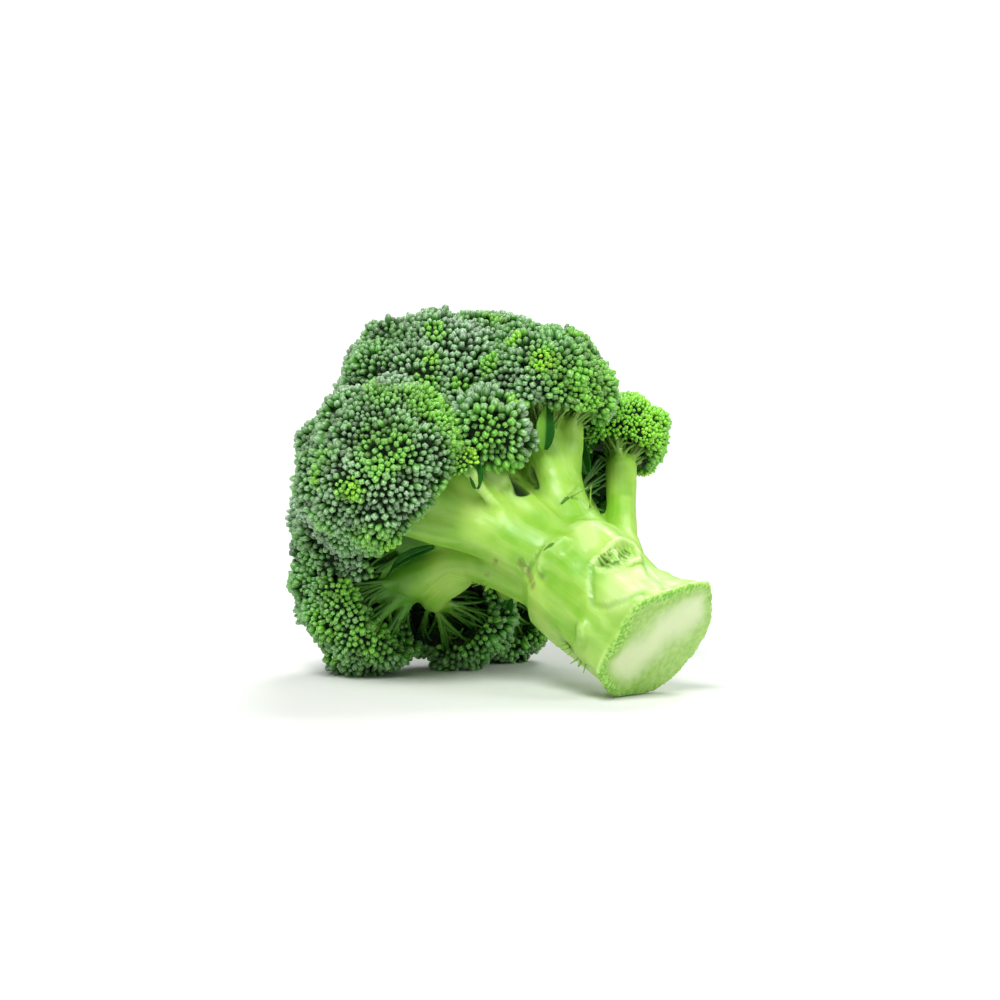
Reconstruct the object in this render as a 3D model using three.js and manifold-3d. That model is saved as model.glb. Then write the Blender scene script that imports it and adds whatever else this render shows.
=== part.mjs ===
// A broccoli head, cut from its plant and laid on its side: one branching stalk, a crown of
// flower buds on each branch, and a few small leaves left between the branches.
//
// The head is modelled upright, as it grew, in millimetres. The origin of that growing frame is
// the heart of the head, the middle of the crown's rim: +Z points to the top of the crown, and
// the stalk runs down to its cut end. The last lines lay it down on three of its florets and on
// the lower edge of the cut, with the stalk pointing along +X.

import * as THREE from "three";
import { ConvexHull } from "three/addons/math/ConvexHull.js";
import { mergeVertices } from "three/addons/utils/BufferGeometryUtils.js";
import Module from "manifold-3d";

const wasm = await Module();
wasm.setup();

const V = (x, y, z) => new THREE.Vector3(x, y, z);

// ---------------------------------------------------------------- driving dimensions, mm

const DIP = THREE.MathUtils.degToRad(26.8); // slope of the stalk down to its cut end
const HEART_HEIGHT = 62.7; // heart of the head above the surface, once laid down
const HEART_PLACE = V(-17.2, 0.3, HEART_HEIGHT);

const CUT_Z = -95; // cut end of the stalk
// The cut's outline: its radius at even turns about +Z, anticlockwise from +X.
const CUT_OUTLINE = [
  17.5, 19.2, 22.7, 26.5, 26.0, 26.9, 28.2, 26.4, 25.6, 26.2, 25.7, 23.1, 22.3, 23.1, 22.5, 22.8,
  23.5, 20.1, 17.5, 17.0, 18.3, 19.5, 17.9, 17.2,
];
// The lower edge of the cut is straight where the head leans on it.
const CUT_LOWEST = (HEART_HEIGHT + CUT_Z * Math.sin(DIP)) / Math.cos(DIP);
// Up the trunk its section turns from the cut's outline into an oval, drawn in on one side.
const TRUNK_PROFILE = [
  // height, the oval's mean radius, share of the cut's outline in the section, depth of the waist
  { height: CUT_Z, radius: 22, share: 1, waist: 0 },
  { height: -91.5, radius: 20.8, share: 0.8, waist: 2 },
  { height: -86, radius: 20.2, share: 0.5, waist: 4 },
  { height: -76, radius: 20.2, share: 0.15, waist: 3.8 },
  { height: -64, radius: 20.6, share: 0, waist: 1.6 },
  { height: -54, radius: 19.6, share: 0, waist: 0 },
  { height: -45, radius: 14, share: 0, waist: 0 },
  { height: -38, radius: 6, share: 0, waist: 0 },
];
const WAIST_TURN = THREE.MathUtils.degToRad(24); // where round the trunk its waist is deepest
const OVAL = { turn: THREE.MathUtils.degToRad(40), by: 0.05 }; // longer across, shorter along
const RIBS = 7; // ridges that run down the stalk from the branches
const RIB_HEIGHT = 0.8;

const GAP = 0.35; // clearance between a piece and what it grows from
const BUD_SPACING = 6.4;
const BUD_RISE = 1.1; // a bud's tip above the crown's surface
const BUD_VALLEY = 1; // the crease round a bud, below that surface
const PLAIN_SPACING = 13; // facets where a crown is hidden against its neighbour

const LOBE_SPACING = 21; // each crown is a cluster of smaller domes
const LOBE_REACH = 0.38; // a dome's radius, as a share of its crown's
const LOBE_CAP = THREE.MathUtils.degToRad(112);
const CORE_REACH = 0.9;
const LOBE_BLEND = 0.6;
const PRESSED = 2.2; // how far a resting crown is pressed flat by the surface under it

// A crown's underside lies below its middle, by these shares of its radius: at its rim, and
// where it is hollowed round its branch.
const UNDERSIDE = { rim: 0.36, hollow: 0.14 };

// One row for each floret: the middle of its crown, the crown's radius, the path of its branch
// from the stalk to the fork under the crown, the branch's radius at each of those points, and
// the number of twigs in the fork.
const FLORETS = {
  floret_top_right: {
    crown: V(40.8, 13.6, -4.2),
    radius: 24.8,
    branch: [V(5, 4, -62), V(12, 7, -36), V(24, 9.7, -15.5)],
    girth: [12, 8.6, 8.6],
    twigs: 5,
    flat: { towards: V(0.86, 0.5, -0.13), by: 0.1 },
  },
  floret_right: {
    crown: V(26.9, 46.6, -15.1),
    radius: 16,
    branch: [V(4, 10, -66), V(8.9, 22.4, -49.3), V(14.2, 32, -37.4), V(21.2, 40.1, -25)],
    girth: [9, 6, 5, 5.2],
    twigs: 5,
    axis: V(0.53, 0.52, 0.67),
    underside: { rim: 0.5, hollow: 0.14 },
  },
  floret_back_right: {
    crown: V(1, 45, 3),
    radius: 26,
    branch: [V(2, 11, -54), V(4, 24, -30), V(2.2, 36.4, -10.6)],
    girth: [8.5, 7, 6.5],
    twigs: 4,
  },
  floret_bottom_right: {
    crown: V(-49.9, 35, -4.4),
    radius: 16.6,
    branch: [V(-9, 4, -54), V(-24, 10, -23), V(-38.5, 23.8, -11)],
    girth: [7, 4, 3.4],
    twigs: 5,
    rests: true,
  },
  floret_bottom: {
    crown: V(-45.5, 8.6, -4.2),
    radius: 20.6,
    branch: [V(-22, -11.5, -17), V(-30, -12, -12), V(-36.5, -10, -9)],
    girth: [5.5, 5, 4.6],
    twigs: 5,
    rests: true,
  },
  floret_bottom_left: {
    crown: V(-47.9, -23.1, 9.9),
    radius: 26.6,
    branch: [V(-2, -2, -62), V(-15, -11, -20.5), V(-26.5, -14.3, -7), V(-31.5, -16.3, -2)],
    girth: [11, 6.3, 8.2, 8.2],
    twigs: 5,
    flat: { towards: V(-0.83, -0.53, 0.17), by: 0.26 },
    rests: true,
  },
  floret_left: {
    crown: V(8.7, -40.7, 5.4),
    radius: 31,
    branch: [V(2, -3, -62), V(2.8, -16.5, -24), V(5.1, -27.2, -6.2)],
    girth: [12.5, 9.6, 10],
    twigs: 4,
    axis: V(0.37, -0.66, 0.65),
    underside: { rim: 0.5, hollow: 0.4 },
    flat: { towards: V(0.28, -0.57, 0.77), by: 0.1 },
  },
  floret_inner: {
    crown: V(29.2, -12.6, -9.1),
    radius: 15.5,
    branch: [V(8, -5, -48), V(13.7, -8.4, -23), V(18.5, -11.8, -14.2)],
    girth: [6.5, 4.6, 4.2],
    twigs: 4,
    underside: { rim: 0.8, hollow: 0.5 },
  },
  floret_small: {
    crown: V(23, -29, -17.5),
    radius: 4.8,
    branch: [V(9, -15, -30), V(16, -23.5, -24.5), V(20.5, -27, -20.5)],
    girth: [3, 2, 1.7],
    twigs: 3,
    spacing: 3,
  },
  floret_top: {
    crown: V(18.4, -4, 25.5),
    radius: 32.4,
    branch: [V(4, -1, -47), V(9, -1, -20), V(15.9, -1.8, 6.1)],
    girth: [9, 7.6, 7.5],
    twigs: 3,
    underside: { rim: 0.62, hollow: 0.28 },
  },
  floret_top_back: {
    crown: V(25.7, 22.9, 30),
    radius: 25.4,
    branch: [V(5, 6, -48), V(8, 8, -20), V(19.5, 18.4, 15.8)],
    girth: [7.5, 6, 5.5],
    twigs: 3,
  },
  floret_apex: {
    crown: V(-12, 4, 27),
    radius: 30,
    branch: [V(-3, 1, -47), V(-4, 2, -18), V(-8.7, 3.2, 8.7)],
    girth: [9, 7.6, 7.5],
    twigs: 3,
  },
  floret_back_low: {
    crown: V(-26, 34, 6),
    radius: 25,
    branch: [V(-6, 8, -52), V(-11, 17, -26), V(-20.1, 27.3, -6.6)],
    girth: [8, 6.4, 6],
    twigs: 4,
  },
  floret_low_left: {
    crown: V(-24.3, -23.2, 16.8),
    radius: 26.8,
    branch: [V(-6, -5, -50), V(-9, -8, -20), V(-18.4, -17, 2.6)],
    girth: [7.5, 6.2, 6],
    twigs: 3,
  },
};
const TWIG_SPREAD = 0.55; // how far out the twigs end, over the crown's radius
const CROWN_CLEARANCE = 1.3; // from the end of a twig to the crown above it
const TWIG_GIRTH = [0.5, 0.28]; // a twig's two radii, over its branch's end radius
const BRANCH_SIDES = 8;
const TWIG_SIDES = 4;

// Short thick limbs by which a branch spreads into its crown: path and radii.
const LIMBS = [
  { path: [V(4, -12, -34), V(10, -19, -15), V(17, -29, 3)], girth: [8, 7, 5.5] },
  { path: [V(2, -14, -32), V(-2, -27, -13), V(-6, -38, 0)], girth: [8, 7.5, 6] },
  { path: [V(16, 8.5, -28), V(30, 6.5, -14), V(38, 3.5, -6)], girth: [7, 5.4, 4] },
  { path: [V(16, 8.5, -28), V(30, 16.5, -17), V(37, 22, -8)], girth: [7, 5.4, 4] },
];
const LIMB_SIDES = 7;

// Scars where leaves were cut off: each a low shelf on the trunk, at a height and a turn about
// +Z, with its half sizes out of the trunk, round it and up it.
const LEAF_SCARS = [
  { height: -70, turn: -20, size: V(3.2, 7, 3) },
  { height: -56, turn: -58, size: V(2.4, 6, 2.4) },
  { height: -82, turn: -118, size: V(3, 6.5, 3) },
  { height: -78, turn: 70, size: V(3.2, 7.5, 3.2) },
  { height: -68, turn: 165, size: V(3, 7, 3) },
];

// Small leaves: where each is rooted, where its tip is, the direction that its face looks, and
// its width.
const LEAF_THICKNESS = 0.9;
const LEAF_BEND = 0.14; // sag of a blade at its middle, over its length
const LEAVES = {
  leaf_left_fork: {
    root: V(-12, -24.1, -13.5),
    tip: V(-30.2, -27.2, -0.8),
    face: V(0.85, -0.7, -0.36),
    width: 5,
  },
  leaf_inner: {
    root: V(16.6, -26.3, -23.9),
    tip: V(25.6, -24, -16.8),
    face: V(0.2, -0.7, -0.7),
    width: 4.5,
  },
  leaf_top_right: {
    root: V(29, 1.6, -22),
    tip: V(42, 2.6, -15.5),
    face: V(0.32, -0.7, -0.63),
    width: 5.5,
  },
  leaf_bottom: {
    root: V(-31, 14.5, -19.5),
    tip: V(-50, 19.5, -12.5),
    face: V(0.32, -0.7, -0.63),
    width: 8,
  },
  leaf_back_right: {
    root: V(19.4, 25, -24),
    tip: V(27.1, 30.3, -6),
    face: V(0.32, -0.7, -0.63),
    width: 6,
  },
};

const MATERIALS = {
  stalk: new THREE.MeshStandardMaterial({ color: 0xa3d15c, roughness: 0.45, metalness: 0 }),
  buds: new THREE.MeshStandardMaterial({ color: 0x2f6b2a, roughness: 0.7, metalness: 0 }),
  leaf: new THREE.MeshStandardMaterial({ color: 0x2a6a45, roughness: 0.55, metalness: 0 }),
};

// ---------------------------------------------------------------- solids

/** The same draw of numbers from 0 to 1 for the same seed. */
function draws(seed) {
  let state = seed >>> 0;
  return () => {
    state = (state + 0x6d2b79f5) >>> 0;
    let t = Math.imul(state ^ (state >>> 15), 1 | state);
    t = (t + Math.imul(t ^ (t >>> 7), 61 | t)) ^ t;
    return ((t ^ (t >>> 14)) >>> 0) / 4294967296;
  };
}

/** A closed BufferGeometry as a solid that can be joined and cut. */
function solidOf(geometry) {
  const bare = new THREE.BufferGeometry().setAttribute("position", geometry.getAttribute("position"));
  if (geometry.index) bare.setIndex(geometry.index);
  const merged = mergeVertices(bare, 1e-4);
  return new wasm.Manifold(
    new wasm.Mesh({
      numProp: 3,
      vertProperties: Float32Array.from(merged.attributes.position.array),
      triVerts: Uint32Array.from(merged.index.array),
    }),
  );
}

/** The triangles of the largest of the bodies that a list of triangles forms. */
function largestBody(triangles, pointCount) {
  const joined = Array.from({ length: pointCount }, (_, i) => i);
  const root = (i) => {
    while (joined[i] !== i) i = joined[i] = joined[joined[i]];
    return i;
  };
  for (let i = 0; i < triangles.length; i += 3) {
    joined[root(triangles[i])] = root(triangles[i + 1]);
    joined[root(triangles[i + 1])] = root(triangles[i + 2]);
  }
  const bodies = new Map();
  for (let i = 0; i < triangles.length; i += 3) {
    const key = root(triangles[i]);
    if (!bodies.has(key)) bodies.set(key, []);
    bodies.get(key).push(triangles[i], triangles[i + 1], triangles[i + 2]);
  }
  return [...bodies.values()].sort((a, b) => b.length - a.length)[0];
}

/** A solid as a BufferGeometry. A scrap that a cut leaves loose is dropped. */
function geometryOf(solid) {
  const { numProp, numVert, vertProperties, triVerts } = solid.getMesh();
  const points = new Float32Array(numVert * 3);
  for (let i = 0; i < numVert; i++) {
    points.set(vertProperties.subarray(i * numProp, i * numProp + 3), i * 3);
  }
  const geometry = new THREE.BufferGeometry();
  geometry.setAttribute("position", new THREE.BufferAttribute(points, 3));
  geometry.setIndex(largestBody(triVerts, numVert));
  geometry.computeVertexNormals();
  return geometry;
}

/** A value read off a list of values spread evenly over the shares 0 to 1. */
function along(values, share) {
  const at = THREE.MathUtils.clamp(share, 0, 1) * (values.length - 1);
  const low = Math.min(Math.floor(at), values.length - 2);
  return THREE.MathUtils.lerp(values[low], values[low + 1], at - low);
}

/** A round stem through the points, `extra` fatter and longer all round. */
function stem(points, radii, sides, steps, extra = 0) {
  const path = new THREE.CatmullRomCurve3(points, false, "centripetal");
  const tube = new THREE.CylinderGeometry(1, 1, 1, sides, steps);
  const frames = path.computeFrenetFrames(steps, false);
  const position = tube.attributes.position;
  for (let i = 0; i < position.count; i++) {
    const share = THREE.MathUtils.clamp(position.getY(i) + 0.5, 0, 1);
    const step = Math.round(share * steps);
    const radius = along(radii, share) + extra;
    const end = step === 0 ? -extra : step === steps ? extra : 0;
    const p = path
      .getPointAt(share)
      .addScaledVector(frames.normals[step], position.getX(i) * radius)
      .addScaledVector(frames.binormals[step], -position.getZ(i) * radius)
      .addScaledVector(frames.tangents[step], end);
    position.setXYZ(i, p.x, p.y, p.z);
  }
  return solidOf(tube);
}

// ---------------------------------------------------------------- stalk

/** The trunk's radius at one step of its profile, `k` steps round the cut's outline. */
function trunkRadius(step, k) {
  const { radius, share, waist } = TRUNK_PROFILE[step];
  const turn = (2 * Math.PI * k) / CUT_OUTLINE.length;
  const oval = radius * (1 + OVAL.by * Math.cos(2 * (turn - OVAL.turn)));
  const rib = RIB_HEIGHT * Math.cos(RIBS * turn) - waist * Math.max(0, Math.cos(turn - WAIST_TURN));
  const away = Math.max(-Math.cos(turn), 1e-6);
  const cut = Math.min(CUT_OUTLINE[k], CUT_LOWEST / away);
  return THREE.MathUtils.lerp(oval + rib, cut, share);
}

/** The trunk: a ribbed column between the cut and the branches. */
function trunk(extra = 0) {
  const steps = TRUNK_PROFILE.length - 1;
  const sides = CUT_OUTLINE.length;
  const column = new THREE.CylinderGeometry(1, 1, 1, sides, steps);
  const position = column.attributes.position;
  for (let i = 0; i < position.count; i++) {
    const step = Math.round((position.getY(i) + 0.5) * steps);
    const rim = Math.hypot(position.getX(i), position.getZ(i));
    const turn = Math.atan2(-position.getZ(i), position.getX(i));
    const k = (Math.round((turn * sides) / (2 * Math.PI)) + sides) % sides;
    const radius = rim * (trunkRadius(step, k) + extra);
    const end = step === 0 ? -extra : step === steps ? extra : 0;
    const height = TRUNK_PROFILE[step].height + end;
    position.setXYZ(i, radius * Math.cos(turn), radius * Math.sin(turn), height);
  }
  return solidOf(column);
}

/** The direction in which a floret's crown looks. */
function growthAxis({ crown, branch, axis }) {
  return (axis ?? crown.clone().sub(branch.at(-1))).clone().normalize();
}

/** Two directions across a floret's axis. */
function across(axis) {
  const e1 = Math.abs(axis.z) < 0.9 ? V(0, 0, 1) : V(1, 0, 0);
  e1.cross(axis).normalize();
  return [e1, axis.clone().cross(e1)];
}

/** A floret's branch, and the fork of twigs that carries its crown. */
function branchAndTwigs(floret, extra = 0) {
  const { crown, radius, branch, girth, twigs } = floret;
  const axis = growthAxis(floret);
  const [e1, e2] = across(axis);
  const fork = branch.at(-1);
  const last = girth.at(-1);
  const back = branch.at(-2).clone().lerp(fork, 0.82);
  const { rim, hollow } = floret.underside ?? UNDERSIDE;
  const short = (depth) => -depth * radius - CROWN_CLEARANCE;
  const top = crown.clone().addScaledVector(axis, short(hollow) - CROWN_CLEARANCE);
  const radii = [...girth, 0.5 * last];
  const made = [stem([...branch, top], radii, BRANCH_SIDES, 2 * branch.length - 1, extra)];
  for (let k = 0; k < twigs; k++) {
    const turn = (2 * Math.PI * (k + 0.3)) / twigs;
    const out = e1.clone().multiplyScalar(Math.cos(turn)).addScaledVector(e2, Math.sin(turn));
    const start = back.clone().addScaledVector(out, 0.42 * last);
    const end = crown
      .clone()
      .addScaledVector(out, TWIG_SPREAD * radius)
      .addScaledVector(axis, short(THREE.MathUtils.lerp(hollow, rim, TWIG_SPREAD)));
    made.push(stem([start, end], TWIG_GIRTH.map((share) => share * last), TWIG_SIDES, 1, extra));
  }
  return made;
}

/** A low shelf left on the trunk where a leaf was cut off. */
function leafScar({ height, turn, size }, extra = 0) {
  const angle = THREE.MathUtils.degToRad(turn);
  const heights = TRUNK_PROFILE.map((row) => row.height);
  const step = heights.findIndex((value) => value >= height);
  const share = (height - heights[step - 1]) / (heights[step] - heights[step - 1]);
  const { radius } = TRUNK_PROFILE[step];
  const out = THREE.MathUtils.lerp(TRUNK_PROFILE[step - 1].radius, radius, share) - 0.35 * size.x;
  const shelf = new THREE.SphereGeometry(1, 8, 5);
  shelf.scale(size.x + extra, size.y + extra, size.z + extra);
  shelf.rotateY(-0.45);
  shelf.rotateZ(angle);
  shelf.translate(Math.cos(angle) * out, Math.sin(angle) * out, height);
  return solidOf(shelf);
}

/** The whole stalk with its branches, `extra` fatter all round. */
function stalk(extra = 0) {
  return wasm.Manifold.union([
    trunk(extra),
    ...Object.values(FLORETS).flatMap((floret) => branchAndTwigs(floret, extra)),
    ...LIMBS.map(({ path, girth }) => stem(path, girth, LIMB_SIDES, 3, extra)),
    ...LEAF_SCARS.map((scar) => leafScar(scar, extra)),
  ]);
}

// ---------------------------------------------------------------- crowns

/** Directions spread evenly over a ball, about one for each `spacing` squared of its surface. */
function evenDirections(radius, spacing, jitter, random) {
  const count = Math.max(8, Math.round((4 * Math.PI * radius ** 2) / (0.866 * spacing ** 2)));
  const golden = Math.PI * (3 - Math.sqrt(5));
  return Array.from({ length: count }, (_, i) => {
    const z = 1 - (2 * i + 1) / count;
    const ring = Math.sqrt(1 - z * z);
    const away = (jitter * spacing) / radius;
    return V(
      ring * Math.cos(golden * i) + away * (random() - 0.5),
      ring * Math.sin(golden * i) + away * (random() - 0.5),
      z + away * (random() - 0.5),
    ).normalize();
  });
}

/** The small domes that make up a crown, each a ball placed from the crown's middle. */
function lobes({ radius }, axis) {
  const [e1, e2] = across(axis);
  const share = (1 - Math.cos(LOBE_CAP)) / 2;
  const count = Math.max(5, Math.round((share * 4 * Math.PI * radius ** 2) / (0.866 * LOBE_SPACING ** 2)));
  const reach = LOBE_REACH * radius;
  const golden = Math.PI * (3 - Math.sqrt(5));
  return Array.from({ length: count }, (_, k) => {
    const cos = 1 - ((k + 0.5) / count) * (1 - Math.cos(LOBE_CAP));
    const sin = Math.sqrt(1 - cos * cos);
    const out = axis
      .clone()
      .multiplyScalar(cos)
      .addScaledVector(e1, sin * Math.cos(golden * k))
      .addScaledVector(e2, sin * Math.sin(golden * k));
    const swell = 1 + 0.035 * Math.sin(2.4 * k + radius);
    return { centre: out.multiplyScalar(radius * swell - reach), reach };
  });
}

/** Straight down to the surface that the head lies on, in the growing frame. */
const DOWN = V(-Math.cos(DIP), 0, -Math.sin(DIP));

/** The height of a crown's middle above that surface. */
function heightOf({ crown }) {
  return HEART_HEIGHT - crown.dot(DOWN);
}

/** How far a ray from the centre of a ball or beside it goes before it leaves the ball. */
function ballReach({ centre, reach }, dir) {
  const ahead = centre.dot(dir);
  const inside = ahead * ahead - centre.lengthSq() + reach * reach;
  return inside > 0 ? ahead + Math.sqrt(inside) : 0;
}

/** How far a ray from a crown's middle goes before it leaves the crown's domes. */
function domeReach(floret, lobeList, dir) {
  const { radius, flat, rests } = floret;
  const parts = [CORE_REACH * radius, ...lobeList.map((lobe) => ballReach(lobe, dir))];
  const most = Math.max(...parts);
  const sum = parts.reduce((total, part) => total + Math.exp((part - most) / LOBE_BLEND), 0);
  const squash = flat ? 1 - flat.by * Math.max(0, flat.towards.dot(dir)) ** 2 : 1;
  const dome = squash * (most + LOBE_BLEND * Math.log(sum));
  if (!rests) return dome;
  const reach = 0.5 * radius;
  const foot = { centre: DOWN.clone().multiplyScalar(heightOf(floret) + PRESSED - reach), reach };
  return Math.max(dome, ballReach(foot, dir));
}

/** The flat limits that a crown's neighbours set to it. */
function limits(name) {
  const { crown, radius } = FLORETS[name];
  const found = [];
  for (const [other, floret] of Object.entries(FLORETS)) {
    if (other === name) continue;
    const away = floret.crown.clone().sub(crown);
    const distance = away.length();
    if (distance > 1.12 * (radius + floret.radius)) continue;
    const split = (distance ** 2 + radius ** 2 - floret.radius ** 2) / (2 * distance);
    found.push({ normal: away.normalize(), distance: split - GAP / 2 });
  }
  return found;
}

/** How far a ray goes before it meets the nearest flat limit. */
function limitReach(list, dir) {
  return Math.min(...list.map(({ normal, distance }) => {
    const towards = normal.dot(dir);
    return towards > 1e-6 ? distance / towards : Infinity;
  }));
}

/** How far a ray goes before it meets the hollowed underside. */
function undersideReach(floret, axis, dir) {
  const back = -axis.dot(dir);
  const side = Math.sqrt(Math.max(0, 1 - back * back));
  const { rim, hollow } = floret.underside ?? UNDERSIDE;
  const towards = back - (rim - hollow) * side;
  return towards > 1e-6 ? (hollow * floret.radius) / towards : Infinity;
}

/** A crown: a cluster of domes covered with buds, each raised to a tip inside its own cell. */
function crownSolid(name, seed) {
  const floret = FLORETS[name];
  const random = draws(seed);
  const axis = growthAxis(floret);
  const lobeList = lobes(floret, axis);
  const flats = limits(name);
  const ground = [{ normal: DOWN, distance: heightOf(floret) }];
  const measure = (dir) => {
    const dome = domeReach(floret, lobeList, dir);
    const floor = limitReach(ground, dir);
    const stop = Math.min(limitReach(flats, dir), undersideReach(floret, axis, dir));
    return { dome, floor, stop, open: Math.min(dome + 0.4 * BUD_RISE, floor) < stop };
  };
  const spacing = floret.spacing ?? BUD_SPACING;
  const relief = spacing / BUD_SPACING;
  const buds = evenDirections(floret.radius, spacing, 0.35, random).filter((d) => measure(d).open);
  const plain = evenDirections(floret.radius, PLAIN_SPACING, 0, random).filter((d) => !measure(d).open);
  const sites = [...buds, ...plain];
  const order = new Map(sites.map((site, i) => [site, i]));
  const hull = new ConvexHull().setFromPoints(sites);
  const cells = sites.map(() => []);
  const points = [];
  const place = (dir, offset) => {
    const { dome, floor, stop } = measure(dir);
    const reach = dome > floor ? floor : Math.min(dome + relief * offset, floor);
    points.push(dir.clone().multiplyScalar(Math.max(1, Math.min(reach, stop))).add(floret.crown));
    return points.length - 1;
  };
  const tips = sites.map((dir, i) => place(dir, i < buds.length ? BUD_RISE + 0.5 * (random() - 0.5) : 0));
  for (const face of hull.faces) {
    const corner = place(face.normal.clone().normalize(), -BUD_VALLEY);
    let edge = face.edge;
    do {
      cells[order.get(edge.head().point)].push({ corner, dir: face.normal });
      edge = edge.next;
    } while (edge !== face.edge);
  }
  const triangles = [];
  cells.forEach((cell, i) => {
    const [e1, e2] = across(sites[i]);
    const turn = ({ dir }) => Math.atan2(e2.dot(dir), e1.dot(dir));
    cell.sort((a, b) => turn(a) - turn(b));
    cell.forEach((item, k) => {
      triangles.push(tips[i], item.corner, cell[(k + 1) % cell.length].corner);
    });
  });
  const geometry = new THREE.BufferGeometry().setFromPoints(points);
  geometry.setIndex(triangles);
  return solidOf(geometry);
}

// ---------------------------------------------------------------- leaves

/** A pointed blade from root to tip, arched along its length, `extra` thicker and wider. */
function leafBlade({ root, tip, face, width }, extra = 0) {
  const length = root.distanceTo(tip) + 2 * extra;
  const half = width / 2 + extra;
  const outline = new THREE.Shape();
  outline.moveTo(0, -half * 0.35);
  outline.quadraticCurveTo(length * 0.35, -half * 1.5, length, -0.35);
  outline.lineTo(length, 0.35);
  outline.quadraticCurveTo(length * 0.35, half * 1.5, 0, half * 0.35);
  const thick = LEAF_THICKNESS + 2 * extra;
  const blade = new THREE.ExtrudeGeometry(outline, { depth: thick, bevelEnabled: false, curveSegments: 6 });
  const along = tip.clone().sub(root).normalize();
  const side = face.clone().cross(along).normalize();
  const up = along.clone().cross(side);
  const position = blade.attributes.position;
  for (let i = 0; i < position.count; i++) {
    const share = position.getX(i) / length;
    const sag = LEAF_BEND * length * Math.sin(Math.PI * share);
    const cup = 0.1 * (position.getY(i) / half) ** 2 * width;
    const p = root
      .clone()
      .addScaledVector(along, position.getX(i) - extra)
      .addScaledVector(side, position.getY(i))
      .addScaledVector(up, position.getZ(i) - thick / 2 + sag + cup);
    position.setXYZ(i, p.x, p.y, p.z);
  }
  return solidOf(blade);
}

// ---------------------------------------------------------------- the head

/** A named mesh from a solid. */
function piece(name, solid, material) {
  const mesh = new THREE.Mesh(geometryOf(solid), material);
  mesh.name = name;
  return mesh;
}

const head = new THREE.Group();
head.add(piece("stalk", stalk(), MATERIALS.stalk));

const roomForStalk = stalk(GAP);
const leafRoom = wasm.Manifold.union(Object.values(LEAVES).map((leaf) => leafBlade(leaf, GAP)));
Object.keys(FLORETS).forEach((name, i) => {
  const crown = crownSolid(name, 11 + i).subtract(roomForStalk).subtract(leafRoom);
  head.add(piece(name, crown, MATERIALS.buds));
});
for (const [name, leaf] of Object.entries(LEAVES)) {
  head.add(piece(name, leafBlade(leaf).subtract(roomForStalk), MATERIALS.leaf));
}

// Laid down: the growing frame's +Z turns to point along -X and up by the dip.
head.quaternion.setFromRotationMatrix(
  new THREE.Matrix4().makeBasis(
    V(Math.sin(DIP), 0, Math.cos(DIP)),
    V(0, 1, 0),
    V(-Math.cos(DIP), 0, Math.sin(DIP)),
  ),
);
head.position.copy(HEART_PLACE);

const broccoli = new THREE.Group();
broccoli.add(head);

export default broccoli;
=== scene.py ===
"""A broccoli head on its side: a branching stalk, crowns of flower buds and a few small leaves.

Shapes are worked out upright, as the head grew, in millimetres: the origin is the heart of the
head, +Z points to the top of the crown and the stalk runs down to its cut end. `laid_down` turns
them to the frame's place and to metres.
"""

import math

import bpy
import numpy as np
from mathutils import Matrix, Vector, kdtree


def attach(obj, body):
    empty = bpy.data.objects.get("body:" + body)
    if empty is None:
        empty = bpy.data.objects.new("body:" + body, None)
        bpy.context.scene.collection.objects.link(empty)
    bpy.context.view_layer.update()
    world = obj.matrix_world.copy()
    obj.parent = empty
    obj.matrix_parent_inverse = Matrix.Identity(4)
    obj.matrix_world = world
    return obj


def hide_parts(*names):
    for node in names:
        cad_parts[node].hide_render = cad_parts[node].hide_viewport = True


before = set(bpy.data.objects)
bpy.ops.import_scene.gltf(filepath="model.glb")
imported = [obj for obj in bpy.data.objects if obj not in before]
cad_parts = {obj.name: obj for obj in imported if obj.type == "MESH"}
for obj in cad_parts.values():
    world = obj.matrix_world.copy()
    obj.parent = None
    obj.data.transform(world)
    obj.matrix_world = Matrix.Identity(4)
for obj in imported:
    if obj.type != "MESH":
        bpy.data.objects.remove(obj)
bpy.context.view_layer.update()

# ---------------------------------------------------------------- sizes, mm, in the growing frame

MM = 0.001
TINY = 1e-6  # the least that anything is divided by

DIP = math.radians(26.8)  # slope of the stalk down to its cut end
HEART = np.array([-17.2, 0.3, 62.7])  # where the heart of the head lies in the frame
TO_FRAME = np.array([
    [math.sin(DIP), 0, -math.cos(DIP)],
    [0, 1, 0],
    [math.cos(DIP), 0, math.sin(DIP)],
])
DOWN = -TO_FRAME[2]  # towards the surface that the head lies on

CUT_Z = -95.0
CUT_OUTLINE = [  # the cut's radius at even turns about +Z, from +X
    17.5, 19.2, 22.7, 26.5, 26.0, 26.9, 28.2, 26.4, 25.6, 26.2, 25.7, 23.1, 22.3, 23.1, 22.5, 22.8,
    23.5, 20.1, 17.5, 17.0, 18.3, 19.5, 17.9, 17.2,
]
# The cut is straight along its lower edge, where the head leans on it.
CUT_LOWEST = (HEART[2] + CUT_Z * math.sin(DIP)) / math.cos(DIP)
CUT_FLARE = 0.9  # how far the skin stands out at the cut's edge
CUT_FLARE_HEIGHT = 3.5
TRUNK_HEIGHT = [-95, -91.5, -86, -76, -64, -54, -45, -38]
TRUNK_RADIUS = [22, 20.8, 20.2, 20.2, 20.6, 19.6, 14, 6]  # of its oval, at those heights
TRUNK_CUT_SHARE = [1, 0.8, 0.5, 0.15, 0, 0, 0, 0]  # how far its section has the cut's outline
TRUNK_WAIST = [0, 2, 4, 3.8, 1.6, 0, 0, 0]  # how far one side is drawn in
WAIST_TURN = math.radians(24)
OVAL_TURN = math.radians(40)  # the oval is longer this way
OVAL_BY = 0.05
RIBS = 7
RIB_HEIGHT = 0.45

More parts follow.
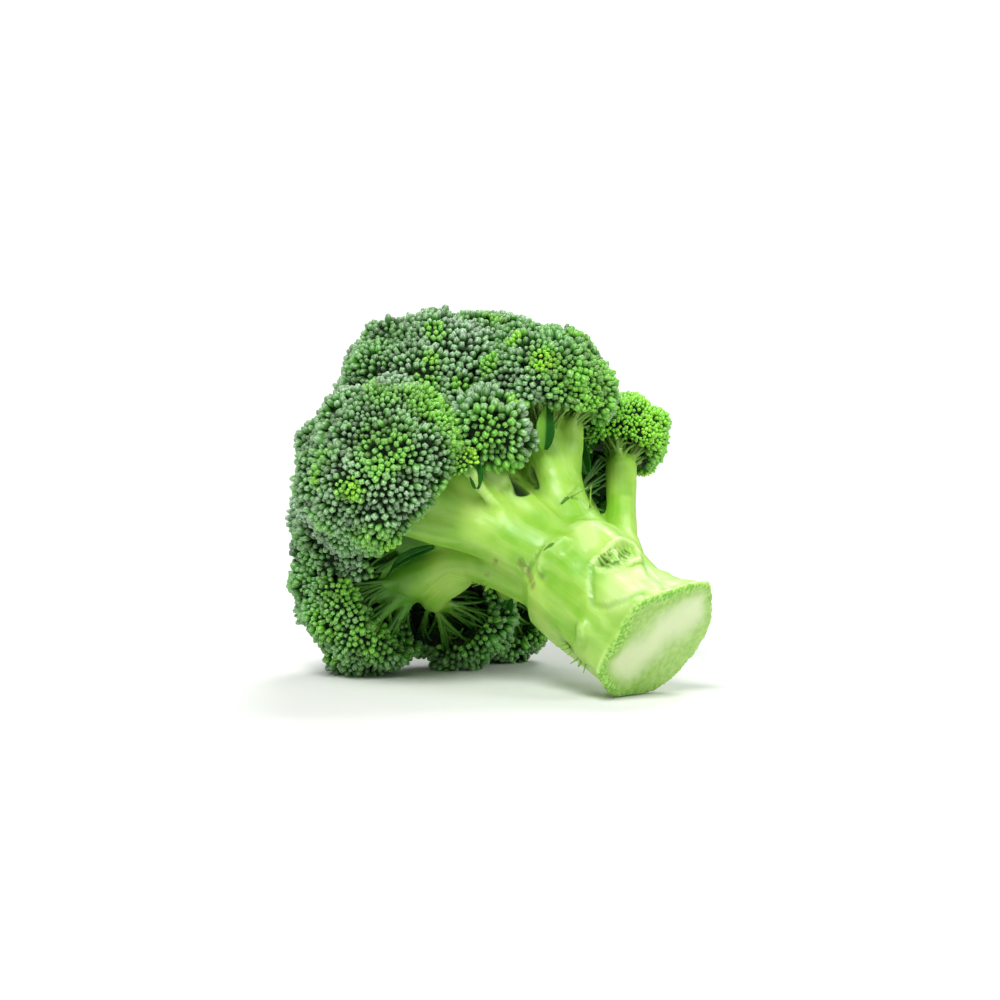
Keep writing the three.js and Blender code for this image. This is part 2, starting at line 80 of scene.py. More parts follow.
LOBE_SPACING = 21.0  # each crown is a cluster of smaller domes
LOBE_REACH = 0.38  # a dome's radius, over its crown's
LOBE_CAP = math.radians(112)  # how far from the crown's axis the domes are set
LOBE_UNEVEN = 0.035  # how far a dome stands out or back, over the crown's radius
LEAST_LOBES = 5
CORE_REACH = 0.9  # the ball inside the domes, over the crown's radius
LOBE_BLEND = 0.6
UNDERSIDE = (0.36, 0.14)  # a crown's rim and its hollow lie this far below its middle
PRESSED = 2.2  # how far a resting crown is pressed flat by the surface under it
FOOT_REACH = 0.5  # the foot of a resting crown, over its radius
CROWN_GAP = 0.35
SLOPE_STEP = 0.6  # a crown's slope is measured between points this far apart
OUT_BY = 0.35  # how much its way out is turned away from its middle

BUD_SPACING = 2.14
BUD_RADIUS = 1.2
BUD_LENGTH = 1.35  # half a bud's length over its radius
BUD_SUNK = 0.7  # how deep a bud's middle lies under the crown's surface
YOUNG_SMALLER = 0.42
YOUNG_PLUMPER = 0.2  # a young bud is wider for its spacing
CLUSTER_SPACING = 8.5
CLUSTER_RISE = 1.7  # swell of a cluster's middle over its edge
CLUSTER_ROOT = 6.5  # from a cluster's surface down to the fork of its bud stalks
SWELL = 0.6  # uneven growth of a crown's surface
SWELL_SIZE = 13
FLESH_DEPTH = 2.1  # the body of a crown below the surface through its buds, painted near-black green as shade
FLESH_UNEVEN = 0.4
FLESH_GAP = 0.4  # between that body and the plane to a neighbour
FLESH_LEAST = 0.6
CAP_HEIGHT = 0.34  # of the top of the hollow under that body, over the crown's radius
CAP_HALVINGS = 14  # steps of the search for the dome above that point
RIM_LIP = 5.0  # buds go on this far round a crown's rim, onto its underside
RIM_LIP_SHARE = 0.16  # but no further than this share of the crown's radius

# One row for each floret. `branch` is the path of its branch from the trunk to the fork under
# the crown, and `girth` the branch's radius at each of those points. Where a crown needs them:
# axis       the way that it grew, which is otherwise from the fork to its middle
# underside  how far below its middle its rim and its hollow lie, over its radius
# flat       the side on which it is flatter, and by how much
# rests      it lies on the surface
# lip        buds go on this far onto its underside
# bloom      how waxy its buds are
# dim        how much painted shade darkens its twigs, and its branch near the crown
# fine       the size of its buds, over the usual
# loose      how unevenly they stand
# light      how light they are, raised as painted light on a crown that is lit
# plump      how much wider they are for their spacing
# young_all  how young all of them are
# fresh      patches of young buds: the middle, the radius and how young they are
FLORETS = {
    "floret_top_right": dict(
        crown=(40.8, 13.6, -4.2), radius=24.8, branch=[(5, 4, -62), (12, 7, -36), (24, 9.7, -15.5)],
        girth=[12, 8.6, 8.6], flat=((0.86, 0.5, -0.13), 0.1), bloom=0.6, dim=0.15,
        fresh=[((57.4, -1.6, -11.6), 7, 1), ((56, 20, -17.4), 14, 0.35), ((47.9, 13.7, -23.2), 14, 0.45),
               ((52.9, 5.8, -21.3), 13, 0.25), ((44.8, -7, 5), 7, 0.5)]),
    "floret_right": dict(
        crown=(26.9, 46.6, -15.1), radius=16,
        branch=[(4, 10, -66), (8.9, 22.4, -49.3), (14.2, 32, -37.4), (21.2, 40.1, -25)],
        girth=[9, 6, 5, 5.2], axis=(0.53, 0.52, 0.67), underside=(0.5, 0.14), bloom=0.2, dim=0.1,
        # this crown's buds are all made lighter: painted light
        fine=0.58, light=1.0, plump=0.14, young_all=0.4,
        fresh=[((33.2, 42, -26.6), 16, 0.2), ((40, 52, -16), 12, 0.15)]),
    "floret_back_right": dict(
        crown=(1, 45, 3), radius=26, branch=[(2, 11, -54), (4, 24, -30), (2.2, 36.4, -10.6)],
        girth=[8.5, 7, 6.5], bloom=0.5),
    "floret_bottom_right": dict(
        crown=(-49.9, 35, -4.4), radius=16.6, branch=[(-9, 4, -54), (-24, 10, -23), (-38.5, 23.8, -11)],
        girth=[7, 4, 3.4], rests=True, bloom=0.4),
    "floret_bottom": dict(
        crown=(-45.5, 8.6, -4.2), radius=20.6, branch=[(-22, -11.5, -17), (-30, -12, -12), (-36.5, -10, -9)],
        girth=[5.5, 5, 4.6], rests=True, bloom=0.4),
    "floret_bottom_left": dict(
        crown=(-47.9, -23.1, 9.9), radius=26.6,
        branch=[(-2, -2, -62), (-15, -11, -20.5), (-26.5, -14.3, -7), (-31.5, -16.3, -2)],
        girth=[11, 6.3, 8.2, 8.2], flat=((-0.83, -0.53, 0.17), 0.26), rests=True, bloom=0.7, lip=9.5,
        fresh=[((-40.1, -24.7, -8), 14, 0.4), ((-35.3, -43.9, 0.2), 12, 0.4), ((-50, -43.6, 1.6), 9, 0.25),
               ((-49.2, -35.7, -10.6), 12, 0.3)]),
    "floret_left": dict(
        crown=(8.7, -40.7, 5.4), radius=31, branch=[(2, -3, -62), (2.8, -16.5, -24), (5.1, -27.2, -6.2)],
        girth=[12.5, 9.6, 10], axis=(0.37, -0.66, 0.65), underside=(0.5, 0.4),
        flat=((0.28, -0.57, 0.77), 0.1), bloom=0.95, dim=0.15,
        fresh=[((9.7, -66.8, -8.3), 6.5, 0.8), ((36.6, -33, -1), 17, 0.45), ((31, -30, -10), 14, 0.5),
               ((24.4, -57.9, -8.8), 13, 0.15), ((12, -62, 4), 9, 0.1),
               ((-7.3, -55.3, -16.1), 11, 0.2), ((-6.7, -62.4, -0.1), 5, 0.35), ((33, -48, 8), 9, 0.15)]),
    "floret_inner": dict(
        crown=(29.2, -12.6, -9.1), radius=15.5,
        branch=[(8, -5, -48), (13.7, -8.4, -23), (18.5, -11.8, -14.2)],
        girth=[6.5, 4.6, 4.2], underside=(0.8, 0.5), bloom=0.95, dim=0.3, fine=1.16, loose=0.55,
        fresh=[((23.8, -13.2, -20), 10, 0.1), ((34, -20, -17), 12, 0.15)]),
    "floret_small": dict(
        crown=(23, -29, -17.5), radius=4.8, branch=[(9, -15, -30), (16, -23.5, -24.5), (20.5, -27, -20.5)],
        girth=[3, 2, 1.7], bloom=0.0, fine=0.55, young_all=0.62),
    "floret_top": dict(
        crown=(18.4, -4, 25.5), radius=32.4, branch=[(4, -1, -47), (9, -1, -20), (15.9, -1.8, 6.1)],
        girth=[9, 7.6, 7.5], underside=(0.62, 0.28), flat=((-0.05, -0.68, 0.73), -0.05), bloom=0.9, dim=0.1,
        fresh=[((44.3, -23.8, 15.9), 5, 0.9), ((35.3, -26.1, 13), 6, 0.4), ((38, -18, 2), 7, 0.2)]),
    "floret_top_back": dict(
        crown=(25.7, 22.9, 30), radius=25.4, branch=[(5, 6, -48), (8, 8, -20), (19.5, 18.4, 15.8)],
        girth=[7.5, 6, 5.5], bloom=0.85),
    "floret_apex": dict(
        crown=(-12, 4, 27), radius=30, branch=[(-3, 1, -47), (-4, 2, -18), (-8.7, 3.2, 8.7)],
        girth=[9, 7.6, 7.5], bloom=0.9),
    "floret_back_low": dict(
        crown=(-26, 34, 6), radius=25, branch=[(-6, 8, -52), (-11, 17, -26), (-20.1, 27.3, -6.6)],
        girth=[8, 6.4, 6], bloom=0.7),
    "floret_low_left": dict(
        crown=(-24.3, -23.2, 16.8), radius=26.8, branch=[(-6, -5, -50), (-9, -8, -20), (-18.4, -17, 2.6)],
        girth=[7.5, 6.2, 6], bloom=0.9),
}

LIMBS = [  # short thick limbs between the branches
    dict(path=[(4, -12, -34), (10, -19, -15), (17, -29, 3)], girth=[8, 7, 5.5]),
    dict(path=[(2, -14, -32), (-2, -27, -13), (-6, -38, 0)], girth=[8, 7.5, 6]),
    dict(path=[(16, 8.5, -28), (30, 6.5, -14), (38, 3.5, -6)], girth=[7, 5.4, 4]),
    dict(path=[(16, 8.5, -28), (30, 16.5, -17), (37, 22, -8)], girth=[7, 5.4, 4]),
]

LEAF_SCARS = [  # height, turn about +Z, half sizes out, round and up
    dict(height=-72, turn=-20, size=(2.6, 7, 3.4)),
    dict(height=-56, turn=-62, size=(1.6, 6, 2.4)),
    dict(height=-82, turn=-118, size=(3, 6.5, 3)),
    dict(height=-78, turn=70, size=(3.2, 7.5, 3.2)),
    dict(height=-68, turn=165, size=(3, 7, 3)),
]
SCAR_TILT = -0.45  # its shelf slopes down
SCAR_SUNK = 0.35  # share of its half size that lies inside the trunk
SCAR_FILLET = 2.0

LEAVES = {  # `face` is the way that the blade looks, and `light` how much painted light lies on its one side
    "leaf_left_fork": dict(
        root=(-12, -24.1, -13.5), tip=(-30.2, -27.2, -0.8), face=(0.85, -0.7, -0.36), width=3.8),
    "leaf_inner": dict(
        root=(16.6, -26.3, -23.9), tip=(25.6, -24, -16.8), face=(0.2, -0.7, -0.7), width=4.5),
    "leaf_top_right": dict(
        root=(29, 1.6, -22), tip=(44, 2.8, -14.4), face=(0.32, -0.7, -0.63), width=6.2, light=0.8),
    "leaf_bottom": dict(
        root=(-31, 14.5, -19.5), tip=(-50, 19.5, -12.5), face=(0.32, -0.7, -0.63), width=8),
    "leaf_back_right": dict(
        root=(19.4, 25, -24), tip=(27.1, 30.3, -6), face=(0.32, -0.7, -0.63), width=6),
}
LEAF_GRID = (26, 12)  # faces along a blade and across it
LEAF_BEND = 0.14  # sag of a blade at its middle, over its length
LEAF_THICKNESS = 0.55
LEAF_FOLD = 0.55  # how steeply its two halves rise from the rib

# ---------------------------------------------------------------- small sums


def unit(vectors):
    """The same directions, with a length of one."""
    return vectors / np.linalg.norm(vectors, axis=-1, keepdims=True)


def smooth(low, high, values):
    """0 below low, 1 above high, and a smooth step between."""
    share = np.clip((values - low) / (high - low), 0, 1)
    return share * share * (3 - 2 * share)


def laid_down(points):
    """Points of the growing frame, in mm, in the frame of the laid-down head, in metres."""
    return (points @ TO_FRAME.T + HEART) * MM


def across(axis):
    """Two directions across an axis, and across each other."""
    helper = np.where(np.abs(axis[..., 2:3]) < 0.9, [0.0, 0.0, 1.0], [1.0, 0.0, 0.0])
    first = unit(np.cross(helper, axis))
    return first, np.cross(axis, first)


def ripple(points, size, seed):
    """Smooth noise from about -1 to 1, with bumps about `size` apart: a sum of seven waves."""
    random = np.random.default_rng(seed)
    total = np.zeros(len(points))
    for _ in range(7):
        wave = unit(random.normal(size=3)) * 2 * math.pi / (size * random.uniform(1.3, 2.8))
        total += np.sin(points @ wave + random.uniform(0, 2 * math.pi))
    return total / 3.2


# ---------------------------------------------------------------- the shape of a crown

HEXAGON = 0.866  # the area round each of many evenly spaced points, over their spacing squared
GOLDEN_TURN = math.pi * (3 - math.sqrt(5))  # from one point of an even spiral to the next
NEIGHBOUR_REACH = 1.12  # crowns further apart than this, over the sum of their radii, don't meet


class Crown:
    """The surface of one crown, as a distance from its middle in each direction."""

    def __init__(self, name):
        row = FLORETS[name]
        self.name = name
        self.row = row
        self.middle = np.array(row["crown"], float)
        self.radius = row["radius"]
        self.fork = np.array(row["branch"][-1], float)
        self.axis = unit(np.array(row.get("axis", self.middle - self.fork), float))
        self.underside = row.get("underside", UNDERSIDE)
        self.lip = row.get("lip", min(RIM_LIP, RIM_LIP_SHARE * self.radius))
        self.dim = row.get("dim", 0.9)
        self.floor = HEART[2] - self.middle @ DOWN
        self.place_lobes()
        self.find_limits()

    def place_lobes(self):
        """Sets the domes evenly round the axis, on a spiral."""
        e1, e2 = across(self.axis)
        share = (1 - math.cos(LOBE_CAP)) / 2
        area = 4 * math.pi * self.radius**2
        count = max(LEAST_LOBES, round(share * area / (HEXAGON * LOBE_SPACING**2)))
        k = np.arange(count)
        cos = 1 - (k + 0.5) / count * (1 - math.cos(LOBE_CAP))
        sin = np.sqrt(1 - cos * cos)
        turn = GOLDEN_TURN * k
        out = np.outer(cos, self.axis) + np.outer(sin * np.cos(turn), e1) + np.outer(sin * np.sin(turn), e2)
        swell = 1 + LOBE_UNEVEN * np.sin(2.4 * k + self.radius)
        self.lobe_reach = LOBE_REACH * self.radius
        self.lobes = out * (self.radius * swell - self.lobe_reach)[:, None]

    def find_limits(self):
        """Finds the planes between this crown and its neighbours."""
        normals = []
        distances = []
        for other, row in FLORETS.items():
            away = np.array(row["crown"]) - self.middle
            distance = np.linalg.norm(away)
            if other == self.name or distance > NEIGHBOUR_REACH * (self.radius + row["radius"]):
                continue
            split = (distance**2 + self.radius**2 - row["radius"] ** 2) / (2 * distance)
            if split > 0:
                normals.append(away / distance)
                distances.append(split - CROWN_GAP / 2)
        self.limit_normals = np.array(normals).reshape(-1, 3)
        self.limit_distances = np.array(distances)

    def ball(self, centres, reach, dirs):
        """How far balls of one radius reach in each direction, or 0 where they are missed."""
        ahead = dirs @ centres.T
        inside = ahead**2 - (centres**2).sum(1) + reach**2
        return np.where(inside > 0, ahead + np.sqrt(np.maximum(inside, 0)), 0)

    def dome(self, dirs):
        """The domes of the crown, with the foot that the surface under it presses flat."""
        parts = np.column_stack([
            np.full(len(dirs), CORE_REACH * self.radius),
            self.ball(self.lobes, self.lobe_reach, dirs),
        ])
        most = parts.max(1)
        reach = most + LOBE_BLEND * np.log(np.exp((parts - most[:, None]) / LOBE_BLEND).sum(1))
        reach = reach + SWELL * ripple(dirs * self.radius + self.middle, SWELL_SIZE, 60)
        if "flat" in self.row:
            towards, by = self.row["flat"]
            reach = reach * (1 - by * np.maximum(0, dirs @ np.array(towards)) ** 2)
        if self.row.get("rests"):
            foot = FOOT_REACH * self.radius
            centre = DOWN[None] * (self.floor + PRESSED - foot)
            reach = np.maximum(reach, self.ball(centre, foot, dirs)[:, 0])
        return reach

    def ground(self, dirs):
        """The surface that the head lies on."""
        return self.floor / np.maximum(dirs @ DOWN, TINY)

    def neighbours(self, dirs):
        """The nearest of the planes between this crown and its neighbours."""
        towards = np.maximum(dirs @ self.limit_normals.T, TINY)
        return (self.limit_distances / towards).min(1, initial=1e6)

    def below(self, dirs):
        """The hollowed underside."""
        rim, hollow = self.underside
        back = -dirs @ self.axis
        side = np.sqrt(np.maximum(0, 1 - back * back))
        towards = np.maximum(back - (rim - hollow) * side, TINY)
        return hollow * self.radius / towards

    def reach(self, dirs):
        """The surface through the buds: the domes, the ground and the underside."""
        return np.minimum(np.minimum(self.dome(dirs), self.ground(dirs)), self.below(dirs))

    def outward(self, dirs):
        """The way out of the surface in each direction, turned a little away from the middle."""
        step = SLOPE_STEP / self.radius
        e1, e2 = across(dirs)
        here = dirs * self.reach(dirs)[:, None]
        first = unit(dirs + step * e1)
        second = unit(dirs + step * e2)
        normal = np.cross(
            first * self.reach(first)[:, None] - here,
            second * self.reach(second)[:, None] - here,
        )
        return unit(unit(normal) + OUT_BY * dirs)


# ---------------------------------------------------------------- even spacing

TRIES = 9  # points thrown for each that is kept, or more
FIRST_GAP = 0.8  # share of the spacing that they keep before they are pushed apart
PUSHES = 5
PAST_NEIGHBOUR = 0.5  # points are placed as far as this past the plane to a neighbour


def spread(points, gaps):
    """Picks points in their order, each at least its own gap from those picked before it."""
    cell = float(gaps.max())
    grid = {}
    kept = []
    cells = np.floor(points / cell).astype(int).tolist()
    steps = [(a, b, c) for a in (-1, 0, 1) for b in (-1, 0, 1) for c in (-1, 0, 1)]
    for i, (point, (x, y, z), gap) in enumerate(zip(points.tolist(), cells, gaps.tolist())):
        free = True
        for a, b, c in steps:
            for other in grid.get((x + a, y + b, z + c), ()):
                away = (other[0] - point[0]) ** 2 + (other[1] - point[1]) ** 2 + (other[2] - point[2]) ** 2
                if away < gap * gap:
                    free = False
                    break
            if not free:
                break
        if free:
            kept.append(i)
            grid.setdefault((x, y, z), []).append(point)
    return np.array(kept, int)


def tree_of(points):
    """A tree in which the points near a place are found fast."""
    tree = kdtree.KDTree(len(points))
    for i, point in enumerate(points.tolist()):
        tree.insert(point, i)
    tree.balance()
    return tree


def nearest(points, targets):
    """For each point, the index of the nearest target and the distance to it."""
    tree = tree_of(targets)
    found = [tree.find(point) for point in points.tolist()]
    return np.array([f[1] for f in found]), np.array([f[2] for f in found])


def pushed_apart(points, gaps):
    """One step of each point away from those that are nearer to it than its gap."""
    tree = tree_of(points)
    moved = points.copy()
    for i, (point, gap) in enumerate(zip(points.tolist(), gaps.tolist())):
        push = [0.0, 0.0, 0.0]
        for other, j, distance in tree.find_range(point, gap):
            if j == i or distance < TINY:
                continue
            share = 0.5 * (gap - distance) / distance
            for axis in range(3):
                push[axis] += share * (point[axis] - other[axis])
        moved[i] += push
    return moved


def place_on(crown, spacing, seed, sizes=None):
    """Points spread evenly over the part of a crown that shows, as directions from its middle."""
    random = np.random.default_rng(seed)
    count = int(TRIES * 4 * math.pi * crown.radius**2 / spacing**2)
    dirs = unit(random.normal(size=(count, 3)))

    def showing(dirs):
        """Whether the crown's surface shows in each direction."""
        reach = np.minimum(crown.dome(dirs), crown.ground(dirs))
        clear = reach < crown.neighbours(dirs) + PAST_NEIGHBOUR
        return clear & (reach < crown.below(dirs) + crown.lip)

    dirs = dirs[showing(dirs)]
    points = dirs * crown.reach(dirs)[:, None]
    gaps = spacing * (np.ones(len(dirs)) if sizes is None else sizes(points))
    kept = spread(points, FIRST_GAP * gaps)
    points = points[kept]
    gaps = gaps[kept]
    for _ in range(PUSHES):
        dirs = unit(pushed_apart(points, gaps))
        points = dirs * crown.reach(dirs)[:, None]
    return dirs[showing(dirs)]


# ---------------------------------------------------------------- meshes


class Parts:
    """Closed shapes gathered into one mesh, with values painted on their points."""

    def __init__(self, paints):
        self.points = []
        self.corners = []
        self.sizes = []
        self.materials = []
        self.values = {paint: [] for paint in paints}
        self.count = 0

    def add(self, points, corners, sizes, material, **values):
        """Adds shapes: points, the faces' corners and sizes, a material's number, and paints."""
        self.points.append(points.reshape(-1, 3))
        self.corners.append(corners + self.count)
        self.sizes.append(sizes)
        self.materials.append(np.full(len(sizes), material))
        total = len(self.points[-1])
        for paint, gathered in self.values.items():
            gathered.append(np.broadcast_to(values.get(paint, 0.0), total).astype(np.float32))
        self.count += total

    def mesh(self, name, materials):
        """The laid-down piece. Nothing of it goes below the surface that the head lies on."""
        points = laid_down(np.concatenate(self.points))
        points[:, 2] = np.maximum(points[:, 2], 0)
        corners = np.concatenate(self.corners).astype(np.int32)
        sizes = np.concatenate(self.sizes)
        starts = np.concatenate([[0], np.cumsum(sizes)[:-1]]).astype(np.int32)
        made = bpy.data.meshes.new(name)
        made.vertices.add(len(points))
        made.vertices.foreach_set("co", points.astype(np.float32).ravel())
        made.loops.add(len(corners))
        made.loops.foreach_set("vertex_index", corners)
        made.polygons.add(len(starts))
        made.polygons.foreach_set("loop_start", starts)
        made.polygons.foreach_set("material_index", np.concatenate(self.materials).astype(np.int32))
        made.update(calc_edges=True)
        made.validate()
        for paint, values in self.values.items():
            paint_on(made, paint, np.concatenate(values))
        made.shade_smooth()
        for material in materials:
            made.materials.append(material)
        piece = bpy.data.objects.new(name, made)
        bpy.context.scene.collection.objects.link(piece)
        return piece


def paint_on(mesh, paint, values):
    """Gives each point of a mesh a value that its material reads."""
    attribute = mesh.attributes.new(paint, "FLOAT", "POINT")
    attribute.data.foreach_set("value", values.astype(np.float32))


def tubes(paths, radii, sides):
    """Closed round tubes along many paths at once: their points, corners and face sizes."""
    count, rings, _ = paths.shape
    tangents = unit(np.gradient(paths, axis=1))
    main = unit(paths[:, -1] - paths[:, 0])
    first, _ = across(main)
    side = unit(np.cross(first[:, None], tangents))
    other = np.cross(tangents, side)
    angle = 2 * math.pi * np.arange(sides) / sides
    ring = side[:, :, None] * np.cos(angle)[:, None] + other[:, :, None] * np.sin(angle)[:, None]
    points = paths[:, :, None] + ring * radii[:, :, None, None]
    k = np.arange(sides)
    after = (k + 1) % sides
    i = np.arange(rings - 1)[:, None] * sides
    quads = np.stack([i + k, i + after, i + sides + after, i + sides + k], -1).reshape(-1)
    caps = np.concatenate([k[::-1], (rings - 1) * sides + k])
    one = np.concatenate([quads, caps])
    corners = (one[None] + (np.arange(count) * rings * sides)[:, None]).reshape(-1)
    sizes = np.tile(np.concatenate([np.full((rings - 1) * sides, 4), [sides, sides]]), count)
    return points, corners, sizes


def bent(starts, middles, ends, rings):
    """Paths that leave their starts towards the middles and come in to their ends."""
    t = np.linspace(0, 1, rings)[None, :, None]
    return (1 - t) ** 2 * starts[:, None] + 2 * t * (1 - t) * middles[:, None] + t * t * ends[:, None]


# ---------------------------------------------------------------- materials

# Colours in linear light. A pair runs from its darker to its lighter patches.
# painted shade at the feet of the buds, in the gaps between them
BUD_FOOT_SHADE = (0.0015, 0.009, 0.001, 1)
BUD_FOOT = (0.04, 0.21, 0.005, 1)
BUD_SIDE = (0.11, 0.37, 0.03, 1)
# painted shade in the seams between the sepals
BUD_SEAM_SHADE = (0.012, 0.06, 0.008, 1)
WAX = [(0.028, 0.08, 0.024, 1), (0.34, 0.46, 0.33, 1)]
YOUNG = [(0.03, 0.21, 0.002, 1), (0.25, 0.62, 0.015, 1)]
YELLOW = (0.36, 0.6, 0.02, 1)
# painted shade: the crown's body, seen between its buds
FLESH_SHADE = [(0.002, 0.014, 0.001, 1), (0.01, 0.06, 0.003, 1)]
TWIG_PALE = [(0.16, 0.36, 0.03, 1), (0.27, 0.46, 0.07, 1)]
# deep green of the twigs under the buds, and painted shade under the crowns
TWIG_DEEP_AND_SHADE = [(0.015, 0.11, 0.006, 1), (0.06, 0.25, 0.012, 1)]
STALK_GREEN = [(0.2, 0.48, 0.02, 1), (0.38, 0.62, 0.085, 1)]
STALK_STREAK = (0.46, 0.67, 0.16, 1)
STALK_FINE_STREAK = (0.55, 0.72, 0.3, 1)
STALK_PALE = (0.58, 0.76, 0.29, 1)
# deep green of grooves and patches, and painted shade in creases and under the crowns
STALK_DEEP_AND_SHADE = (0.07, 0.27, 0.008, 1)
CUT_GREEN = [(0.25, 0.47, 0.065, 1), (0.38, 0.59, 0.15, 1)]
CUT_PITH = (0.62, 0.71, 0.41, 1)
CUT_RIM = [(0.14, 0.41, 0.015, 1), (0.4, 0.64, 0.13, 1)]
TORN = [(0.2, 0.46, 0.05, 1), (0.55, 0.74, 0.26, 1)]
# painted shade in the gap between two branches
GAP_SHADE = (0.004, 0.04, 0.002, 1)
SPECK = (0.16, 0.14, 0.03, 1)
BRUISE = (0.2, 0.19, 0.035, 1)
BLADE = [(0.006, 0.06, 0.005, 1), (0.022, 0.15, 0.012, 1)]
# painted light on the lit half of a blade
BLADE_PAINTED_LIGHT = (0.2, 0.46, 0.05, 1)
BLADE_RIB = (0.2, 0.48, 0.1, 1)
FLOOR_GREY = (0.74, 0.755, 0.73, 1)


def node(tree, kind, inputs=None, **properties):
    """A shader node, with its inputs linked or set."""
    made = tree.nodes.new(f"ShaderNode{kind}")
    for key, value in properties.items():
        setattr(made, key, value)
    for key, value in (inputs or {}).items():
        if isinstance(value, bpy.types.NodeSocket):
            tree.links.new(value, made.inputs[key])
        else:
            made.inputs[key].default_value = value
    return made


def painted(tree, name):
    """A value painted on a mesh's points."""
    return node(tree, "Attribute", attribute_name=name).outputs["Fac"]


def sums(tree, operation, a, b):
    """One step of arithmetic on two values."""
    return node(tree, "Math", {0: a, 1: b}, operation=operation).outputs[0]


def stepped(tree, value, low, high, to_low=0.0, to_high=1.0):
    """A smooth step of a value from low to high."""
    inputs = {"Value": value, "From Min": low, "From Max": high, "To Min": to_low, "To Max": to_high}
    return node(tree, "MapRange", inputs, interpolation_type="SMOOTHSTEP").outputs["Result"]


def mixed(tree, share, a, b):
    """Colour a, with a share of colour b."""
    return node(tree, "Mix", {0: share, 6: a, 7: b}, data_type="RGBA").outputs[2]


def noise(tree, where, scale, detail=3.0, rough=0.55):
    """Cloudy noise from 0 to 1."""
    inputs = {"Vector": where, "Scale": scale, "Detail": detail, "Roughness": rough}
    return node(tree, "TexNoise", inputs).outputs["Fac"]


def bumped(tree, height, distance, strength):
    """The normal of a surface with a fine relief."""
    inputs = {"Height": height, "Distance": distance, "Strength": strength}
    return node(tree, "Bump", inputs).outputs["Normal"]


def new_material(name):
    """A material, its nodes, its shader and the place of each point on the piece, in metres."""
    made = bpy.data.materials.new(name)
    made.use_nodes = True
    tree = made.node_tree
    shader = tree.nodes["Principled BSDF"]
    where = node(tree, "TexCoord").outputs["Object"]
    return made, tree, shader, where


def bud_skin():
    """Sepals: vivid green, with painted shade at their feet and seams, and a grey waxy bloom over the tips.
    """
    made, tree, shader, where = new_material("bud skin")
    along = painted(tree, "along")
    young = painted(tree, "young")
    # painted shade: each bud darkens towards its foot, down among the others
    foot = mixed(tree, stepped(tree, along, 0.1, 0.6), BUD_FOOT_SHADE, BUD_FOOT)
    side = mixed(tree, stepped(tree, along, 0.6, 1.0), foot, BUD_SIDE)
    bloom = sums(tree, "MULTIPLY", stepped(tree, along, 0.38, 0.8), painted(tree, "bloom"))
    patchy = sums(tree, "MULTIPLY", bloom, stepped(tree, noise(tree, where, 900.0), 0.25, 0.6, 0.55, 1.0))
    waxy = mixed(tree, patchy, side, mixed(tree, stepped(tree, along, 0.58, 0.98), *WAX))
    fresh = mixed(tree, stepped(tree, along, 0.25, 0.95), *YOUNG)
    youngest = sums(tree, "MULTIPLY", sums(tree, "POWER", young, 5.0), 0.6)
    tip = mixed(tree, young, waxy, mixed(tree, youngest, fresh, YELLOW))
    # painted shade in the seams between the sepals, towards the tips
    sharp = sums(tree, "POWER", painted(tree, "seam"), 3.0)
    seam = sums(tree, "MULTIPLY", sharp, stepped(tree, along, 0.5, 0.9))
    lined = mixed(tree, sums(tree, "MULTIPLY", seam, 0.75), tip, BUD_SEAM_SHADE)
    # each bud's painted brightness: random tone, with painted light and shade on clusters and on some crowns
    light = stepped(tree, painted(tree, "shade"), 0.0, 1.0, 0.62, 1.56)
    colour = node(tree, "VectorMath", {0: lined, "Scale": light}, operation="SCALE").outputs[0]
    tree.links.new(colour, shader.inputs["Base Color"])
    shader.inputs["Roughness"].default_value = 0.4
    shader.inputs["Specular IOR Level"].default_value = 0.6
    shader.inputs["Sheen Weight"].default_value = 0.15
    grain = noise(tree, where, 2600.0, 2.0)
    tree.links.new(bumped(tree, grain, 0.0002, 0.35), shader.inputs["Normal"])
    return made


def crown_flesh():
    """The inside of a crown, seen between its buds, painted near-black green as the shade there."""
    made, tree, shader, where = new_material("crown flesh")
    spots = noise(tree, where, 420.0, 4.0)
    # painted shade: the near-black greens of the body between the buds
    colour = mixed(tree, stepped(tree, spots, 0.35, 0.7), *FLESH_SHADE)
    tree.links.new(colour, shader.inputs["Base Color"])
    shader.inputs["Roughness"].default_value = 0.8
    tree.links.new(bumped(tree, spots, 0.0012, 0.8), shader.inputs["Normal"])
    return made


def twig_skin():
    """Twigs and bud stalks: pale where they leave the branch, deep green under the buds, and painted shade
    under each crown by its `dim`.
    """
    made, tree, shader, where = new_material("twig skin")
    patches = noise(tree, where, 260.0)
    pale = mixed(tree, patches, *TWIG_PALE)
    deep = mixed(tree, patches, *TWIG_DEEP_AND_SHADE)
    colour = mixed(tree, stepped(tree, painted(tree, "along"), 0.05, 0.7), pale, deep)
    tree.links.new(colour, shader.inputs["Base Color"])
    shader.inputs["Roughness"].default_value = 0.45
    tree.links.new(bumped(tree, noise(tree, where, 1400.0), 0.0003, 0.4), shader.inputs["Normal"])
    return made


def stalk_green(tree, where, stretched, streak):
    """Stalk skin: patches, streaks along the branches, pale ridges, painted shade in creases and under
    crowns.
    """
    fine = noise(tree, stretched, 2.0)
    broad = noise(tree, where, 55.0, 2.5)
    base = mixed(tree, stepped(tree, broad, 0.3, 0.7), *STALK_GREEN)
    lined = mixed(tree, stepped(tree, streak, 0.42, 0.72, 0.0, 0.4), base, STALK_STREAK)
    streaked = mixed(tree, stepped(tree, fine, 0.58, 0.8, 0.0, 0.16), lined, STALK_FINE_STREAK)
    ridged = mixed(tree, painted(tree, "pale"), streaked, STALK_PALE)
    # deep green of grooves, with painted shade in creases and under the crowns
    return mixed(tree, painted(tree, "deep"), ridged, STALK_DEEP_AND_SHADE)


